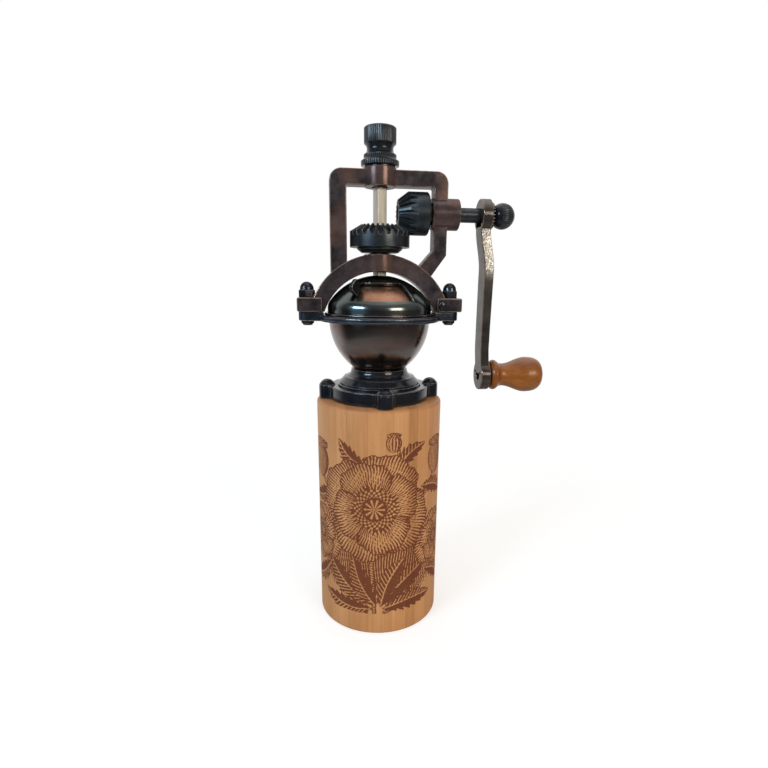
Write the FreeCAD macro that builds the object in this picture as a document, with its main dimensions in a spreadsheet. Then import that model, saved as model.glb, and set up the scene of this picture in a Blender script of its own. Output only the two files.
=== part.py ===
"""Hand-cranked poppy seed mill: a wooden body, a seed bowl under a lidded dome, an iron bridge that
carries bevel gears and a crank, and a steel burr set in the foot of the body.

Frame: origin at the middle of the body's bottom face, +Z up, +X along the crank shaft, the hopper
door faces -Y. Millimetres.
"""
import FreeCAD, Part
import math
import os

import Sketcher

Vector = FreeCAD.Vector
doc = FreeCAD.newDocument("poppy_seed_mill")
sheet = doc.addObject("Spreadsheet::Sheet", "sizes")

# ---------------------------------------------------------------- driving dimensions
# alias, size in millimetres (degrees for turns and angles, plain counts for numbers of things)
DRIVING = [
    # wooden body
    ("wood_radius", 31.0), ("wood_height", 114.5), ("wood_top_round", 1.6), ("wood_foot_round", 0.8),
    ("wood_bore_radius", 13.5), ("mouth_radius", 22.5), ("mouth_depth", 5.0),
    ("foot_recess_radius", 21.0), ("foot_recess_depth", 13.0),
    ("fit_gap", 0.1), ("thread_gap", 0.05), ("running_gap", 0.05),
    # base flange
    ("plate_radius", 24.6), ("plate_height", 6.7), ("plate_round", 0.8), ("spigot_radius", 15.0),
    ("spigot_depth", 6.0), ("lug_circle", 25.7), ("lug_radius", 4.1), ("lug_height", 7.1),
    ("step_radius", 20.4), ("step_height", 1.3), ("cone_radius", 17.5), ("cone_height", 10.6),
    ("cove_radius", 16.0), ("cove_height", 11.3), ("cove_curve", 4.2),
    ("collar_radius", 13.8), ("collar_height", 14.8), ("lug_count", 4),
    ("screw_head_radius", 3.8), ("screw_head_height", 2.4), ("screw_shank_radius", 1.7),
    ("screw_bite", 10.0), ("screw_slot_width", 0.9), ("screw_slot_depth", 0.8),
    # seed bowl
    ("bowl_wall", 1.3), ("bowl_radius", 24.3), ("bowl_foot_step", 0.2), ("bowl_rim", 1.8),
    ("neck_radius", 12.0), ("neck_depth", 5.0), ("lip_width", 2.0), ("lip_height", 1.0),
    # carrying ring and its clamps
    ("ring_lift", 37.9), ("ring_width", 4.9), ("ring_height", 2.9), ("ear_offset", 5.2),
    ("ear_radius", 4.2), ("ear_height", 4.4), ("bolt_radius", 2.0), ("bolt_head_radius", 3.0),
    ("bolt_head_height", 2.1), ("bolt_head_round", 0.6),
    ("nut_flats", 7.0), ("nut_hex_height", 3.3), ("nut_height", 7.2), ("nut_cap_radius", 3.2),
    # bridge: feet, arch, square frame and three bosses
    ("foot_left_out", 4.7), ("foot_right_out", 5.2), ("foot_height", 6.5), ("foot_depth", 11.4),
    ("foot_gap", 3.1), ("arch_inset", 0.1), ("arch_top", 68.6), ("arch_crown", 7.4), ("arch_thickness", 6.0),
    ("arch_depth", 9.5), ("frame_left", 23.2), ("left_bar_width", 7.7), ("frame_right", 31.3),
    ("right_bar_width", 6.5), ("frame_top", 105.35), ("top_bar_height", 6.9), ("frame_depth", 8.0),
    ("frame_corner", 5.5), ("knee_outer_lift", 68.6), ("knee_inner_lift", 70.6),
    ("knee_foot_outer", 22.6), ("knee_foot_inner", 17.0),
    ("top_boss_radius", 7.4), ("top_boss_lift", 98.1), ("top_boss_height", 8.2),
    ("arch_boss_radius", 7.6), ("crank_boss_radius", 7.1), ("crank_boss_length", 12.2),
    ("top_bore_radius", 4.0), ("foot_screw_radius", 1.9), ("foot_screw_inset", 4.8),
    # dome with its sliding door
    ("dome_step", 0.6), ("dome_height", 17.5), ("dome_foot", 1.9), ("dome_shoulder", 6.0),
    ("dome_wall", 1.3), ("dome_hole", 4.0), ("pivot_radius", 5.6), ("pivot_length", 4.4),
    ("window_angle", 77.0), ("window_sill", 6.0), ("window_rise", 7.9), ("window_turn", -2.5),
    ("door_gap", 0.35), ("door_wall", 0.8), ("door_angle", 85.0), ("door_drop", 5.1),
    ("door_hub_radius", 9.0), ("clip_radius", 7.2), ("clip_height", 0.8),
    ("tab_angle", 35.0), ("tab_tilt", 41.0), ("tab_length", 6.6), ("tab_reach", 5.2),
    ("tab_thickness", 1.8), ("tab_stem_radius", 0.8), ("rivet_radius", 1.5), ("rivet_height", 0.7),
    # spindle
    ("spindle_square", 4.8), ("spindle_turn", 22.8), ("spindle_thread_radius", 2.5),
    ("spindle_end_radius", 1.95), ("spindle_bottom", 6.6), ("spindle_square_top", 99.4),
    ("spindle_thread_length", 20.0),
    # bevel gears
    ("crank_lift", 87.2), ("crown_teeth", 24), ("pinion_teeth", 16), ("crown_pitch_radius", 13.35),
    ("tooth_rise", 0.8), ("tooth_root", 0.95), ("gap_width", 1.95), ("flank_angle", 24.0),
    ("toe_share", 0.64), ("crown_turn", -4.6), ("crown_rim_radius", 14.0), ("crown_rim_lift", 71.8),
    ("crown_hub_radius", 10.6), ("crown_foot_radius", 8.7), ("crown_foot_lift", 69.4),
    ("crown_chamfer", 1.5), ("crown_face_drop", 1.1), ("pinion_radius", 9.65), ("pinion_back", 22.4),
    ("pinion_nose_radius", 4.8), ("pinion_edge", 0.5), ("c_washer_radius", 5.2),
    ("c_washer_opening", 80.0), ("grub_radius", 1.45), ("grub_length", 5.6),
    # crank
    ("crank_shaft_radius", 3.3), ("crank_shaft_inner", 8.6), ("spacer_radius", 4.9),
    ("arm_inner", 47.5), ("arm_thickness", 4.8), ("arm_width", 10.6), ("eye_radius", 7.6),
    ("arm_square", 4.6), ("arm_drop", 76.7), ("arm_bow", 2.6), ("arm_bend", 16.0),
    ("arm_set", 0.6), ("foot_bend", 13.0), ("grip_eye_radius", 7.5), ("eye_recess_radius", 2.9),
    ("eye_recess_depth", 1.3), ("crank_thread_radius", 2.5), ("crank_thread_length", 8.4),
    ("lock_washer_radius", 6.0), ("lock_washer_height", 1.4), ("ball_radius", 6.0),
    ("ball_end_radius", 2.0), ("ball_neck_radius", 4.0), ("ball_neck_length", 0.6),
    # grip
    ("grip_washer_radius", 5.0), ("grip_washer_height", 1.0), ("grip_length", 27.2),
    ("bead_radius", 7.6), ("bead_length", 4.2), ("grip_neck_radius", 5.7), ("grip_neck_place", 6.7),
    ("swell_radius", 8.95), ("swell_place", 18.9), ("grip_end_radius", 3.5), ("axle_radius", 2.0),
    ("axle_head_radius", 2.8), ("axle_head_height", 2.0), ("axle_sink", 2.6),
    # adjusting nut
    ("thrust_height", 0.7), ("thrust_radius", 6.9), ("rim_radius", 8.7), ("rim_height", 2.0),
    ("tier_radius", 7.45), ("tier_lift", 3.1), ("tier_height", 1.5), ("nut_neck_radius", 5.7),
    ("nut_neck_curve", 3.0), ("knob_radius", 7.3), ("knob_lift", 9.3), ("knob_height", 6.3),
    ("knob_chamfer", 0.5), ("pilot_length", 5.0),
    # burr set in the foot of the body
    ("ring_burr_lift", 10.0), ("ring_burr_flange", 20.8), ("ring_burr_radius", 16.3),
    ("ring_burr_top", 27.0), ("ring_burr_throat", 9.5), ("ring_burr_mouth", 13.5),
    ("cone_burr_top", 21.6), ("cone_burr_height", 11.6), ("cone_burr_nose", 6.4),
    ("cone_burr_skirt", 12.3), ("cone_burr_land", 5.0), ("burr_screw_circle", 18.6),
    ("burr_screw_count", 3), ("burr_screw_head", 1.9), ("burr_screw_height", 1.4),
    ("burr_screw_shank", 1.1), ("burr_screw_bite", 8.0),
    ("guide_height", 2.0), ("guide_hub_radius", 5.8), ("guide_hub_height", 6.0),
    ("guide_arm_width", 4.0), ("guide_arms", 3), ("spring_wire", 0.5), ("spring_radius", 4.7),
    ("spring_turns", 3), ("spring_runs", 12), ("end_nut_flats", 7.0), ("end_nut_height", 2.4),
]
for row, (alias, number) in enumerate(DRIVING, start=1):
    sheet.set(f"A{row}", alias)
    sheet.set(f"B{row}", str(number))
    sheet.setAlias(f"B{row}", alias)
doc.recompute()


class Size:
    """A number with the spreadsheet expression that gives it, so sums of sizes stay bound."""

    def __init__(self, value, text):
        self.value = float(value)
        self.text = text

    def __add__(self, other):
        other = as_size(other)
        return Size(self.value + other.value, f"({self.text} + {other.text})")

    def __sub__(self, other):
        other = as_size(other)
        return Size(self.value - other.value, f"({self.text} - {other.text})")

    def __mul__(self, other):
        other = as_size(other)
        return Size(self.value * other.value, f"({self.text} * {other.text})")

    def __truediv__(self, other):
        other = as_size(other)
        return Size(self.value / other.value, f"({self.text} / {other.text})")

    def __neg__(self):
        return Size(-self.value, f"(0 - {self.text})")

    def __rsub__(self, other):
        return as_size(other) - self

    __radd__ = __add__
    __rmul__ = __mul__


def as_size(number):
    return number if isinstance(number, Size) else Size(number, str(float(number)))


def root(size):
    return Size(math.sqrt(size.value), f"sqrt({size.text})")


def sine(angle):
    return Size(math.sin(math.radians(angle.value)), f"sin({angle.text})")


def cosine(angle):
    return Size(math.cos(math.radians(angle.value)), f"cos({angle.text})")


class Sheet:
    """Reads a driving dimension by its alias, as a bound Size."""

    def __getattr__(self, alias):
        return Size(sheet.get(alias), f"sizes.{alias}")


s = Sheet()
parts = []

# ---------------------------------------------------------------- helpers


def bind(item, prop, size):
    item.setExpression(prop, as_size(size).text)


def new_body(label, x=None, y=None, z=None):
    """A body that becomes one sub-part, moved from the origin by bound sizes."""
    body = doc.addObject("PartDesign::Body", label)
    body.Label = label
    body.AllowCompound = False
    for axis, size in (("x", x), ("y", y), ("z", z)):
        if size is not None:
            bind(body, f"Placement.Base.{axis}", size)
    return body


def keep(item):
    parts.append(item)
    return item


def new_sketch(body, plane, lift=None, turn=None):
    """Sketch on one of the body's own origin planes, lifted along the plane's normal."""
    sketch = body.newObject("Sketcher::SketchObject", f"{body.Label}_sketch")
    support = [item for item in body.Origin.OriginFeatures if item.Role == f"{plane}_Plane"][0]
    sketch.AttachmentSupport = (support, [""])
    sketch.MapMode = "FlatFace"
    if lift is not None:
        bind(sketch, "AttachmentOffset.Base.z", lift)
    if turn is not None:
        bind(sketch, "AttachmentOffset.Rotation.Angle", turn)
    return sketch


def hold(sketch, edge, end, x, y):
    """Fixes an edge's end at a bound place."""
    for kind, size in (("DistanceX", as_size(x)), ("DistanceY", as_size(y))):
        number = sketch.addConstraint(Sketcher.Constraint(kind, edge, end, size.value))
        sketch.setExpression(f"Constraints[{number}]", size.text)


def arc_through(start, end, radius):
    """The short arc from start to end, centre on the left where radius is positive."""
    run = end - start
    half = run.Length / 2
    side = Vector(-run.y, run.x, 0).normalize() * math.copysign(1, radius)
    centre = start + run * 0.5 + side * math.sqrt(max(radius * radius - half * half, 0))
    first, last = (start, end) if radius > 0 else (end, start)
    angles = [math.atan2(point.y - centre.y, point.x - centre.x) for point in (first, last)]
    circle = Part.Circle(centre, Vector(0, 0, 1), abs(radius))
    return Part.ArcOfCircle(circle, angles[0], angles[1])


def draw(sketch, corners):
    """A closed outline. A corner is (x, y), or (x, y, radius) where an arc leads to it."""
    edges = []
    for index, corner in enumerate(corners):
        start = corners[index - 1]
        places = [Vector(as_size(p[0]).value, as_size(p[1]).value, 0) for p in (start, corner)]
        if len(corner) == 3:
            bend = as_size(corner[2])
            edge = sketch.addGeometry(arc_through(places[0], places[1], bend.value), False)
            number = sketch.addConstraint(Sketcher.Constraint("Radius", edge, abs(bend.value)))
            sketch.setExpression(f"Constraints[{number}]", f"abs({bend.text})")
            edges.append((edge, (1, 2) if bend.value > 0 else (2, 1)))
        else:
            edge = sketch.addGeometry(Part.LineSegment(places[0], places[1]), False)
            edges.append((edge, (1, 2)))
    for index, (edge, ends) in enumerate(edges):
        after, after_ends = edges[(index + 1) % len(edges)]
        sketch.addConstraint(Sketcher.Constraint("Coincident", edge, ends[1], after, after_ends[0]))
        hold(sketch, edge, ends[1], corners[index][0], corners[index][1])


def circle(sketch, x, y, radius):
    centre = Vector(as_size(x).value, as_size(y).value, 0)
    edge = sketch.addGeometry(Part.Circle(centre, Vector(0, 0, 1), as_size(radius).value), False)
    hold(sketch, edge, 3, x, y)
    number = sketch.addConstraint(Sketcher.Constraint("Radius", edge, as_size(radius).value))
    sketch.setExpression(f"Constraints[{number}]", as_size(radius).text)


def box(sketch, left, bottom, right, top):
    draw(sketch, [(left, bottom), (right, bottom), (right, top), (left, top)])


def square(sketch, side):
    box(sketch, -side / 2, -side / 2, side / 2, side / 2)


def polygon(sketch, flats, count=6):
    """Regular outline of the given size across flats."""
    reach = flats / 2 / cosine(as_size(180.0 / count))
    turns = [as_size(360.0 * index / count) for index in range(count)]
    draw(sketch, [(reach * cosine(turn), reach * sine(turn)) for turn in turns])


def feature(body, kind, sketch, **bound):
    item = body.newObject(f"PartDesign::{kind}", f"{body.Label}_{kind.lower()}")
    item.Profile = sketch
    for prop, size in bound.items():
        bind(item, prop, size)
    return item


def turned(body, corners, axis="V_Axis", plane="XZ"):
    """Turns an outline about the upright or the level axis of its plane."""
    sketch = new_sketch(body, plane)
    draw(sketch, corners)
    item = feature(body, "Revolution", sketch)
    item.ReferenceAxis = (sketch, [axis])
    item.Angle = 360
    return item


def pad(body, sketch, length, middle=False):
    item = feature(body, "Pad", sketch, Length=length)
    if middle:
        item.SideType = "Symmetric"
    return item


def cut(body, sketch, length=None, middle=False, reverse=False):
    """Pocket to a bound depth, or right through both ways."""
    if length is None:
        item = feature(body, "Pocket", sketch)
        item.Type = "ThroughAll"
        item.SideType = "Symmetric"
        return item
    item = feature(body, "Pocket", sketch, Length=length)
    if middle:
        item.SideType = "Symmetric"
    item.Reversed = reverse
    return item


def around(body, items, count):
    """Repeats features evenly about the body's upright axis."""
    item = body.newObject("PartDesign::PolarPattern", f"{body.Label}_pattern")
    item.Originals = items
    axis = [part for part in body.Origin.OriginFeatures if part.Role == "Z_Axis"][0]
    item.Axis = (axis, [""])
    item.Angle = 360
    bind(item, "Occurrences", count)
    body.Tip = item
    return item


def copies(label, source, places):
    """One sub-part of several alike solids, each a link to the same piece: (x, y, z, turn)."""
    links = []
    for index, (x, y, z, turn) in enumerate(places):
        link = doc.addObject("App::Link", f"{label}_{index + 1}")
        link.LinkedObject = source
        link.Placement = FreeCAD.Placement(Vector(), FreeCAD.Rotation(Vector(0, 0, 1), 0))
        for axis, size in (("x", x), ("y", y), ("z", z)):
            bind(link, f"Placement.Base.{axis}", size)
        bind(link, "Placement.Rotation.Angle", turn)
        links.append(link)
    group = doc.addObject("Part::Compound", label)
    group.Label = label
    group.Links = links
    return keep(group)


def ring_places(radius, count, height, start):
    """Places spread evenly on a circle, counted from the start angle."""
    turns = [as_size(start) + as_size(360.0 / count * index) for index in range(count)]
    return [(radius * cosine(turn), radius * sine(turn), height, turn) for turn in turns]


def span_radius(run, rise):
    """Radius of the arc that leaves an upright line and ends run inwards and rise away."""
    return (run * run + rise * rise) / run / 2


# ---------------------------------------------------------------- sizes that follow from others

deck = s.wood_height
collar_top = deck + s.collar_height
ring_bottom = deck + s.ring_lift
ring_top = ring_bottom + s.ring_height
lip_top = ring_top + s.lip_height
foot_bottom = ring_bottom + s.ear_height
foot_top = foot_bottom + s.foot_height
lip_radius = s.bowl_radius + s.lip_width
ring_radius = s.bowl_radius + s.ring_width
ear_spread = ring_radius + s.ear_offset
arch_radius = ear_spread - s.arch_inset
arch_bore_radius = arch_radius - s.arch_thickness
arch_boss_top = deck + s.arch_top
arch_boss_bottom = arch_boss_top - s.arch_crown - 0.2
arch_centre = arch_boss_top - arch_radius
arch_bore_centre = arch_boss_top - s.arch_crown - arch_bore_radius
foot_screw_place = ear_spread - s.foot_screw_inset
dome_radius = s.bowl_radius + s.dome_step
dome_fall = s.dome_height - s.dome_foot
dome_reach = dome_radius - s.dome_shoulder
dome_curve = (dome_reach * dome_reach + (dome_fall - s.dome_shoulder) * (dome_fall + s.dome_shoulder)) / (
    (dome_fall - s.dome_shoulder) * 2)
dome_centre = lip_top + s.dome_height - dome_curve
crank_axis = deck + s.crank_lift
boss_top = deck + s.top_boss_lift + s.top_boss_height
nut_bottom = boss_top + s.thrust_height
guide_bottom = s.ring_burr_top
guide_top = guide_bottom + s.guide_height
pinion_pitch_radius = s.crown_pitch_radius * s.pinion_teeth / s.crown_teeth
crank_boss_end = s.frame_right - s.right_bar_width + s.crank_boss_length
arm_outer = s.arm_inner + s.arm_thickness
grip_eye_inner = s.arm_inner + s.arm_bow + s.arm_set
grip_eye_outer = grip_eye_inner + s.arm_thickness
grip_axis = crank_axis - s.arm_drop
grip_start = grip_eye_outer + s.grip_washer_height


# ---------------------------------------------------------------- wooden body and base flange


def wood_body():
    """Turned block with a seed bore, a recess for the flange's spigot and a seat for the burrs."""
    body = new_body("wood_body")
    top, foot = s.wood_top_round, s.wood_foot_round
    pocket = s.spigot_radius + s.fit_gap
    seat = s.ring_burr_radius + s.fit_gap
    turned(body, [
        (s.mouth_radius, 0), (s.wood_radius - foot, 0), (s.wood_radius, foot, foot),
        (s.wood_radius, deck - top), (s.wood_radius - top, deck, top), (pocket, deck),
        (pocket, deck - s.spigot_depth), (s.wood_bore_radius, deck - s.spigot_depth),
        (s.wood_bore_radius, guide_top), (seat, guide_top), (seat, s.foot_recess_depth),
        (s.foot_recess_radius, s.foot_recess_depth), (s.foot_recess_radius, s.mouth_depth),
        (s.mouth_radius, s.mouth_depth)])
    pilots = new_sketch(body, "XY", lift=deck)
    circle(pilots, s.lug_circle, 0, s.screw_shank_radius + s.thread_gap)
    holes = cut(body, pilots, s.screw_bite + 1)
    around(body, [holes], s.lug_count)
    anchors = new_sketch(body, "XY", lift=s.foot_recess_depth)
    circle(anchors, 0, s.burr_screw_circle, s.burr_screw_shank + s.thread_gap)
    holes = cut(body, anchors, s.burr_screw_bite + 1, reverse=True)
    around(body, [holes], s.burr_screw_count)
    return keep(body)


def base_flange():
    """Cast foot of the hopper: a stepped plate with four screw lugs and a coved collar."""
    body = new_body("base_flange")
    bore = s.neck_radius + s.fit_gap
    plate_top = deck + s.plate_height
    turned(body, [
        (bore - s.bowl_wall, deck - s.spigot_depth), (s.spigot_radius, deck - s.spigot_depth),
        (s.spigot_radius, deck), (s.plate_radius, deck), (s.plate_radius, plate_top - s.plate_round),
        (s.plate_radius - s.plate_round, plate_top, s.plate_round),
        (s.step_radius, plate_top + 0.3), (s.step_radius, plate_top + s.step_height),
        (s.cone_radius, deck + s.cone_height), (s.cove_radius, deck + s.cove_height),
        (s.collar_radius, collar_top - 1.0, -s.cove_curve), (s.collar_radius, collar_top),
        (bore, collar_top), (bore, collar_top - s.neck_depth - s.fit_gap),
        (bore - s.bowl_wall, collar_top - s.neck_depth - s.fit_gap)])
    lug = new_sketch(body, "XY", lift=deck)
    circle(lug, s.lug_circle, 0, s.lug_radius)
    ear = pad(body, lug, s.lug_height)
    around(body, [ear], s.lug_count)
    drill = new_sketch(body, "XY", lift=deck + s.lug_height)
    circle(drill, s.lug_circle, 0, s.screw_shank_radius + s.fit_gap)
    hole = cut(body, drill, s.lug_height + 1)
    around(body, [hole], s.lug_count)
    return keep(body)


def flange_screw():
    """Domed wood screw, head underside at its own origin."""
    body = new_body("flange_screw_piece")
    head, rise = s.screw_head_radius, s.screw_head_height
    crown = (head * head + rise * rise) / rise / 2
    turned(body, [
        (0, -(s.screw_bite + s.lug_height)), (s.screw_shank_radius, 1.6 - s.screw_bite - s.lug_height),
        (s.screw_shank_radius, 0), (head, 0), (0, rise, crown)])
    slot = new_sketch(body, "XY", lift=rise)
    box(slot, -head, -s.screw_slot_width / 2, head, s.screw_slot_width / 2)
    cut(body, slot, s.screw_slot_depth)
    places = ring_places(s.lug_circle, 4, deck + s.lug_height, 0)
    return copies("flange_screws", body, places)


# ---------------------------------------------------------------- bowl, ring and dome


def bowl():
    """Spun seed bowl: its neck plugs into the collar, its lip lies on the carrying ring."""
    body = new_body("bowl")
    wall = s.bowl_wall
    waist = ring_top - s.bowl_rim
    outer_foot = s.neck_radius + s.bowl_foot_step
    bend = span_radius(s.bowl_radius - outer_foot, waist - collar_top)
    throat = s.neck_radius - wall
    inner = bend - wall
    funnel_top = collar_top + wall
    drop = waist - funnel_top
    funnel_radius = s.bowl_radius - bend + root(inner * inner - drop * drop)
    turned(body, [
        (throat, collar_top - s.neck_depth), (s.neck_radius, collar_top - s.neck_depth),
        (s.neck_radius, collar_top), (outer_foot, collar_top), (s.bowl_radius, waist, bend),
        (s.bowl_radius, ring_top), (lip_radius, ring_top), (lip_radius, lip_top),
        (s.bowl_radius - wall, lip_top), (s.bowl_radius - wall, waist),
        (funnel_radius, funnel_top, -inner), (throat, collar_top)])
    return keep(body)


def rim_ring():
    """Flat ring around the bowl's lip with an ear each side for the clamp bolts."""
    body = new_body("rim_ring")
    plate = new_sketch(body, "XY", lift=ring_bottom)
    circle(plate, 0, 0, ring_radius)
    circle(plate, 0, 0, s.bowl_radius + s.fit_gap)
    pad(body, plate, s.ring_height)
    for side in (-1, 1):
        ear = new_sketch(body, "XY", lift=ring_bottom)
        inner = (ring_radius - 1.4) * side
        outer = ear_spread * side
        bend = s.ear_radius * side
        draw(ear, [(inner, -bend), (outer, -bend), (outer + bend, 0, s.ear_radius),
                   (outer, bend, s.ear_radius), (inner, bend)])
        pad(body, ear, s.ear_height)
    holes = new_sketch(body, "XY", lift=foot_bottom)
    for side in (-1, 1):
        circle(holes, ear_spread * side, 0, s.bolt_radius + s.fit_gap)
    cut(body, holes, s.ear_height + 1)
    return keep(body)


def dome_outline(sphere, shoulder, radius):
    """The dome's two arcs: where they meet and where the shoulder turns into the upright wall."""
    reach = radius - shoulder
    rise = root((sphere - shoulder) * (sphere - shoulder) - reach * reach)
    share = sphere / (sphere - shoulder)
    return (reach * share, dome_centre + rise * share), (radius, dome_centre + rise)


def dome():
    """Lidded dome over the bowl, with a window and a short pivot tube inside the top."""
    body = new_body("dome")
    bind(body, "Placement.Rotation.Angle", s.window_turn)
    join, spring = dome_outline(dome_curve, s.dome_shoulder, dome_radius)
    wall = s.dome_wall
    inner, thin = dome_curve - wall, s.dome_shoulder - wall
    inner_join, inner_spring = dome_outline(inner, thin, dome_radius - wall)
    hole_top = dome_centre + root(dome_curve * dome_curve - s.dome_hole * s.dome_hole)
    tube_root = dome_centre + root(inner * inner - s.pivot_radius * s.pivot_radius)
    turned(body, [
        (dome_radius - wall, lip_top), (dome_radius, lip_top), spring,
        (join[0], join[1], s.dome_shoulder), (s.dome_hole, hole_top, dome_curve),
        (s.dome_hole, tube_root - s.pivot_length), (s.pivot_radius, tube_root - s.pivot_length),
        (s.pivot_radius, tube_root), (inner_join[0], inner_join[1], -inner),
        (inner_spring[0], inner_spring[1], -thin)])
    sketch = new_sketch(body, "YZ")
    sill = lip_top + s.window_sill
    box(sketch, -dome_radius - 3, sill, -(s.door_hub_radius + 2), sill + s.window_rise)
    window = feature(body, "Groove", sketch, Angle=s.window_angle)
    window.ReferenceAxis = (sketch, ["V_Axis"])
    window.Midplane = True
    return keep(body)


def door():
    """Curved door that slides round inside the dome on the pivot tube."""
    body = new_body("dome_door")
    bind(body, "Placement.Rotation.Angle", s.window_turn)
    outer = dome_curve - s.dome_wall - s.door_gap
    inner = outer - s.door_wall
    edge = lip_top + s.door_drop
    hub = s.door_hub_radius
    eye = s.pivot_radius + s.running_gap

    def reach(ball, height):
        return root(ball * ball - (height - dome_centre) * (height - dome_centre))

    def rise(ball, distance):
        return dome_centre + root(ball * ball - distance * distance)

    plate = new_sketch(body, "YZ")
    draw(plate, [
        (-(hub - 1.5), rise(inner, hub - 1.5)), (-reach(inner, edge), edge, inner),
        (-reach(outer, edge), edge), (-(hub - 1.5), rise(outer, hub - 1.5), -outer)])
    panel = feature(body, "Revolution", plate, Angle=s.door_angle)
    panel.ReferenceAxis = (plate, ["V_Axis"])
    panel.Midplane = True
    ring = new_sketch(body, "XZ")
    draw(ring, [
        (eye, rise(inner, eye) - 0.6), (hub, rise(inner, hub)), (hub, rise(outer, hub)),
        (eye, rise(outer, eye), outer)])
    collar = feature(body, "Revolution", ring)
    collar.ReferenceAxis = (ring, ["V_Axis"])
    collar.Angle = 360
    stem = new_sketch(body, "XY")
    circle(stem, 0, 0, s.tab_stem_radius + s.thread_gap)
    bind(stem, "AttachmentOffset.Base.z", dome_centre)
    aim_sketch(stem)
    cut(body, stem, outer + 4, reverse=True)
    return keep(body)


def aim_sketch(sketch):
    """Tips a level sketch so that its normal points from the dome's centre through the tab."""
    lean = FreeCAD.Rotation(Vector(0, 0, 1), -90 - s.tab_angle.value)
    lean = lean * FreeCAD.Rotation(Vector(0, 1, 0), s.tab_tilt.value)
    offset = sketch.AttachmentOffset
    offset.Rotation = lean
    sketch.AttachmentOffset = offset


def door_tab():
    """Thumb tab riveted to the door through the window, standing square to the dome."""
    body = new_body("door_tab")
    outer = dome_curve - s.dome_wall - s.door_gap
    half = s.tab_length / 2
    foot = root(outer * outer - half * half) + 0.35
    top = dome_curve + s.tab_reach
    soft = s.tab_length / 3
    blade = new_sketch(body, "XZ")
    draw(blade, [
        (-half, foot), (half, foot), (half, top - soft), (half - soft, top, soft),
        (soft - half, top), (-half, top - soft, soft)])
    pad(body, blade, s.tab_thickness, middle=True)
    rivet_end = outer - s.door_wall - s.rivet_height
    stem = new_sketch(body, "XY", lift=rivet_end)
    circle(stem, 0, 0, s.tab_stem_radius)
    pad(body, stem, s.door_wall + s.rivet_height + 0.6)
    rivet = new_sketch(body, "XY", lift=rivet_end)
    circle(rivet, 0, 0, s.rivet_radius)
    pad(body, rivet, s.rivet_height - s.fit_gap)
    turn = FreeCAD.Rotation(Vector(0, 0, 1), s.window_turn.value - 90 - s.tab_angle.value)
    turn = turn * FreeCAD.Rotation(Vector(0, 1, 0), s.tab_tilt.value)
    body.Placement = FreeCAD.Placement(Vector(0, 0, dome_centre.value), turn)
    bind(body, "Placement.Base.z", dome_centre)
    return keep(body)


def door_clip():
    """Snap ring on the pivot tube that keeps the door up."""
    body = new_body("door_clip")
    inner = dome_curve - s.dome_wall
    tube_end = dome_centre + root(inner * inner - s.pivot_radius * s.pivot_radius) - s.pivot_length
    plate = new_sketch(body, "XY", lift=tube_end + 0.3)
    circle(plate, 0, 0, s.clip_radius)
    circle(plate, 0, 0, s.pivot_radius + 0.02)
    pad(body, plate, s.clip_height)
    return keep(body)


# ---------------------------------------------------------------- bridge and its fasteners


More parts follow.
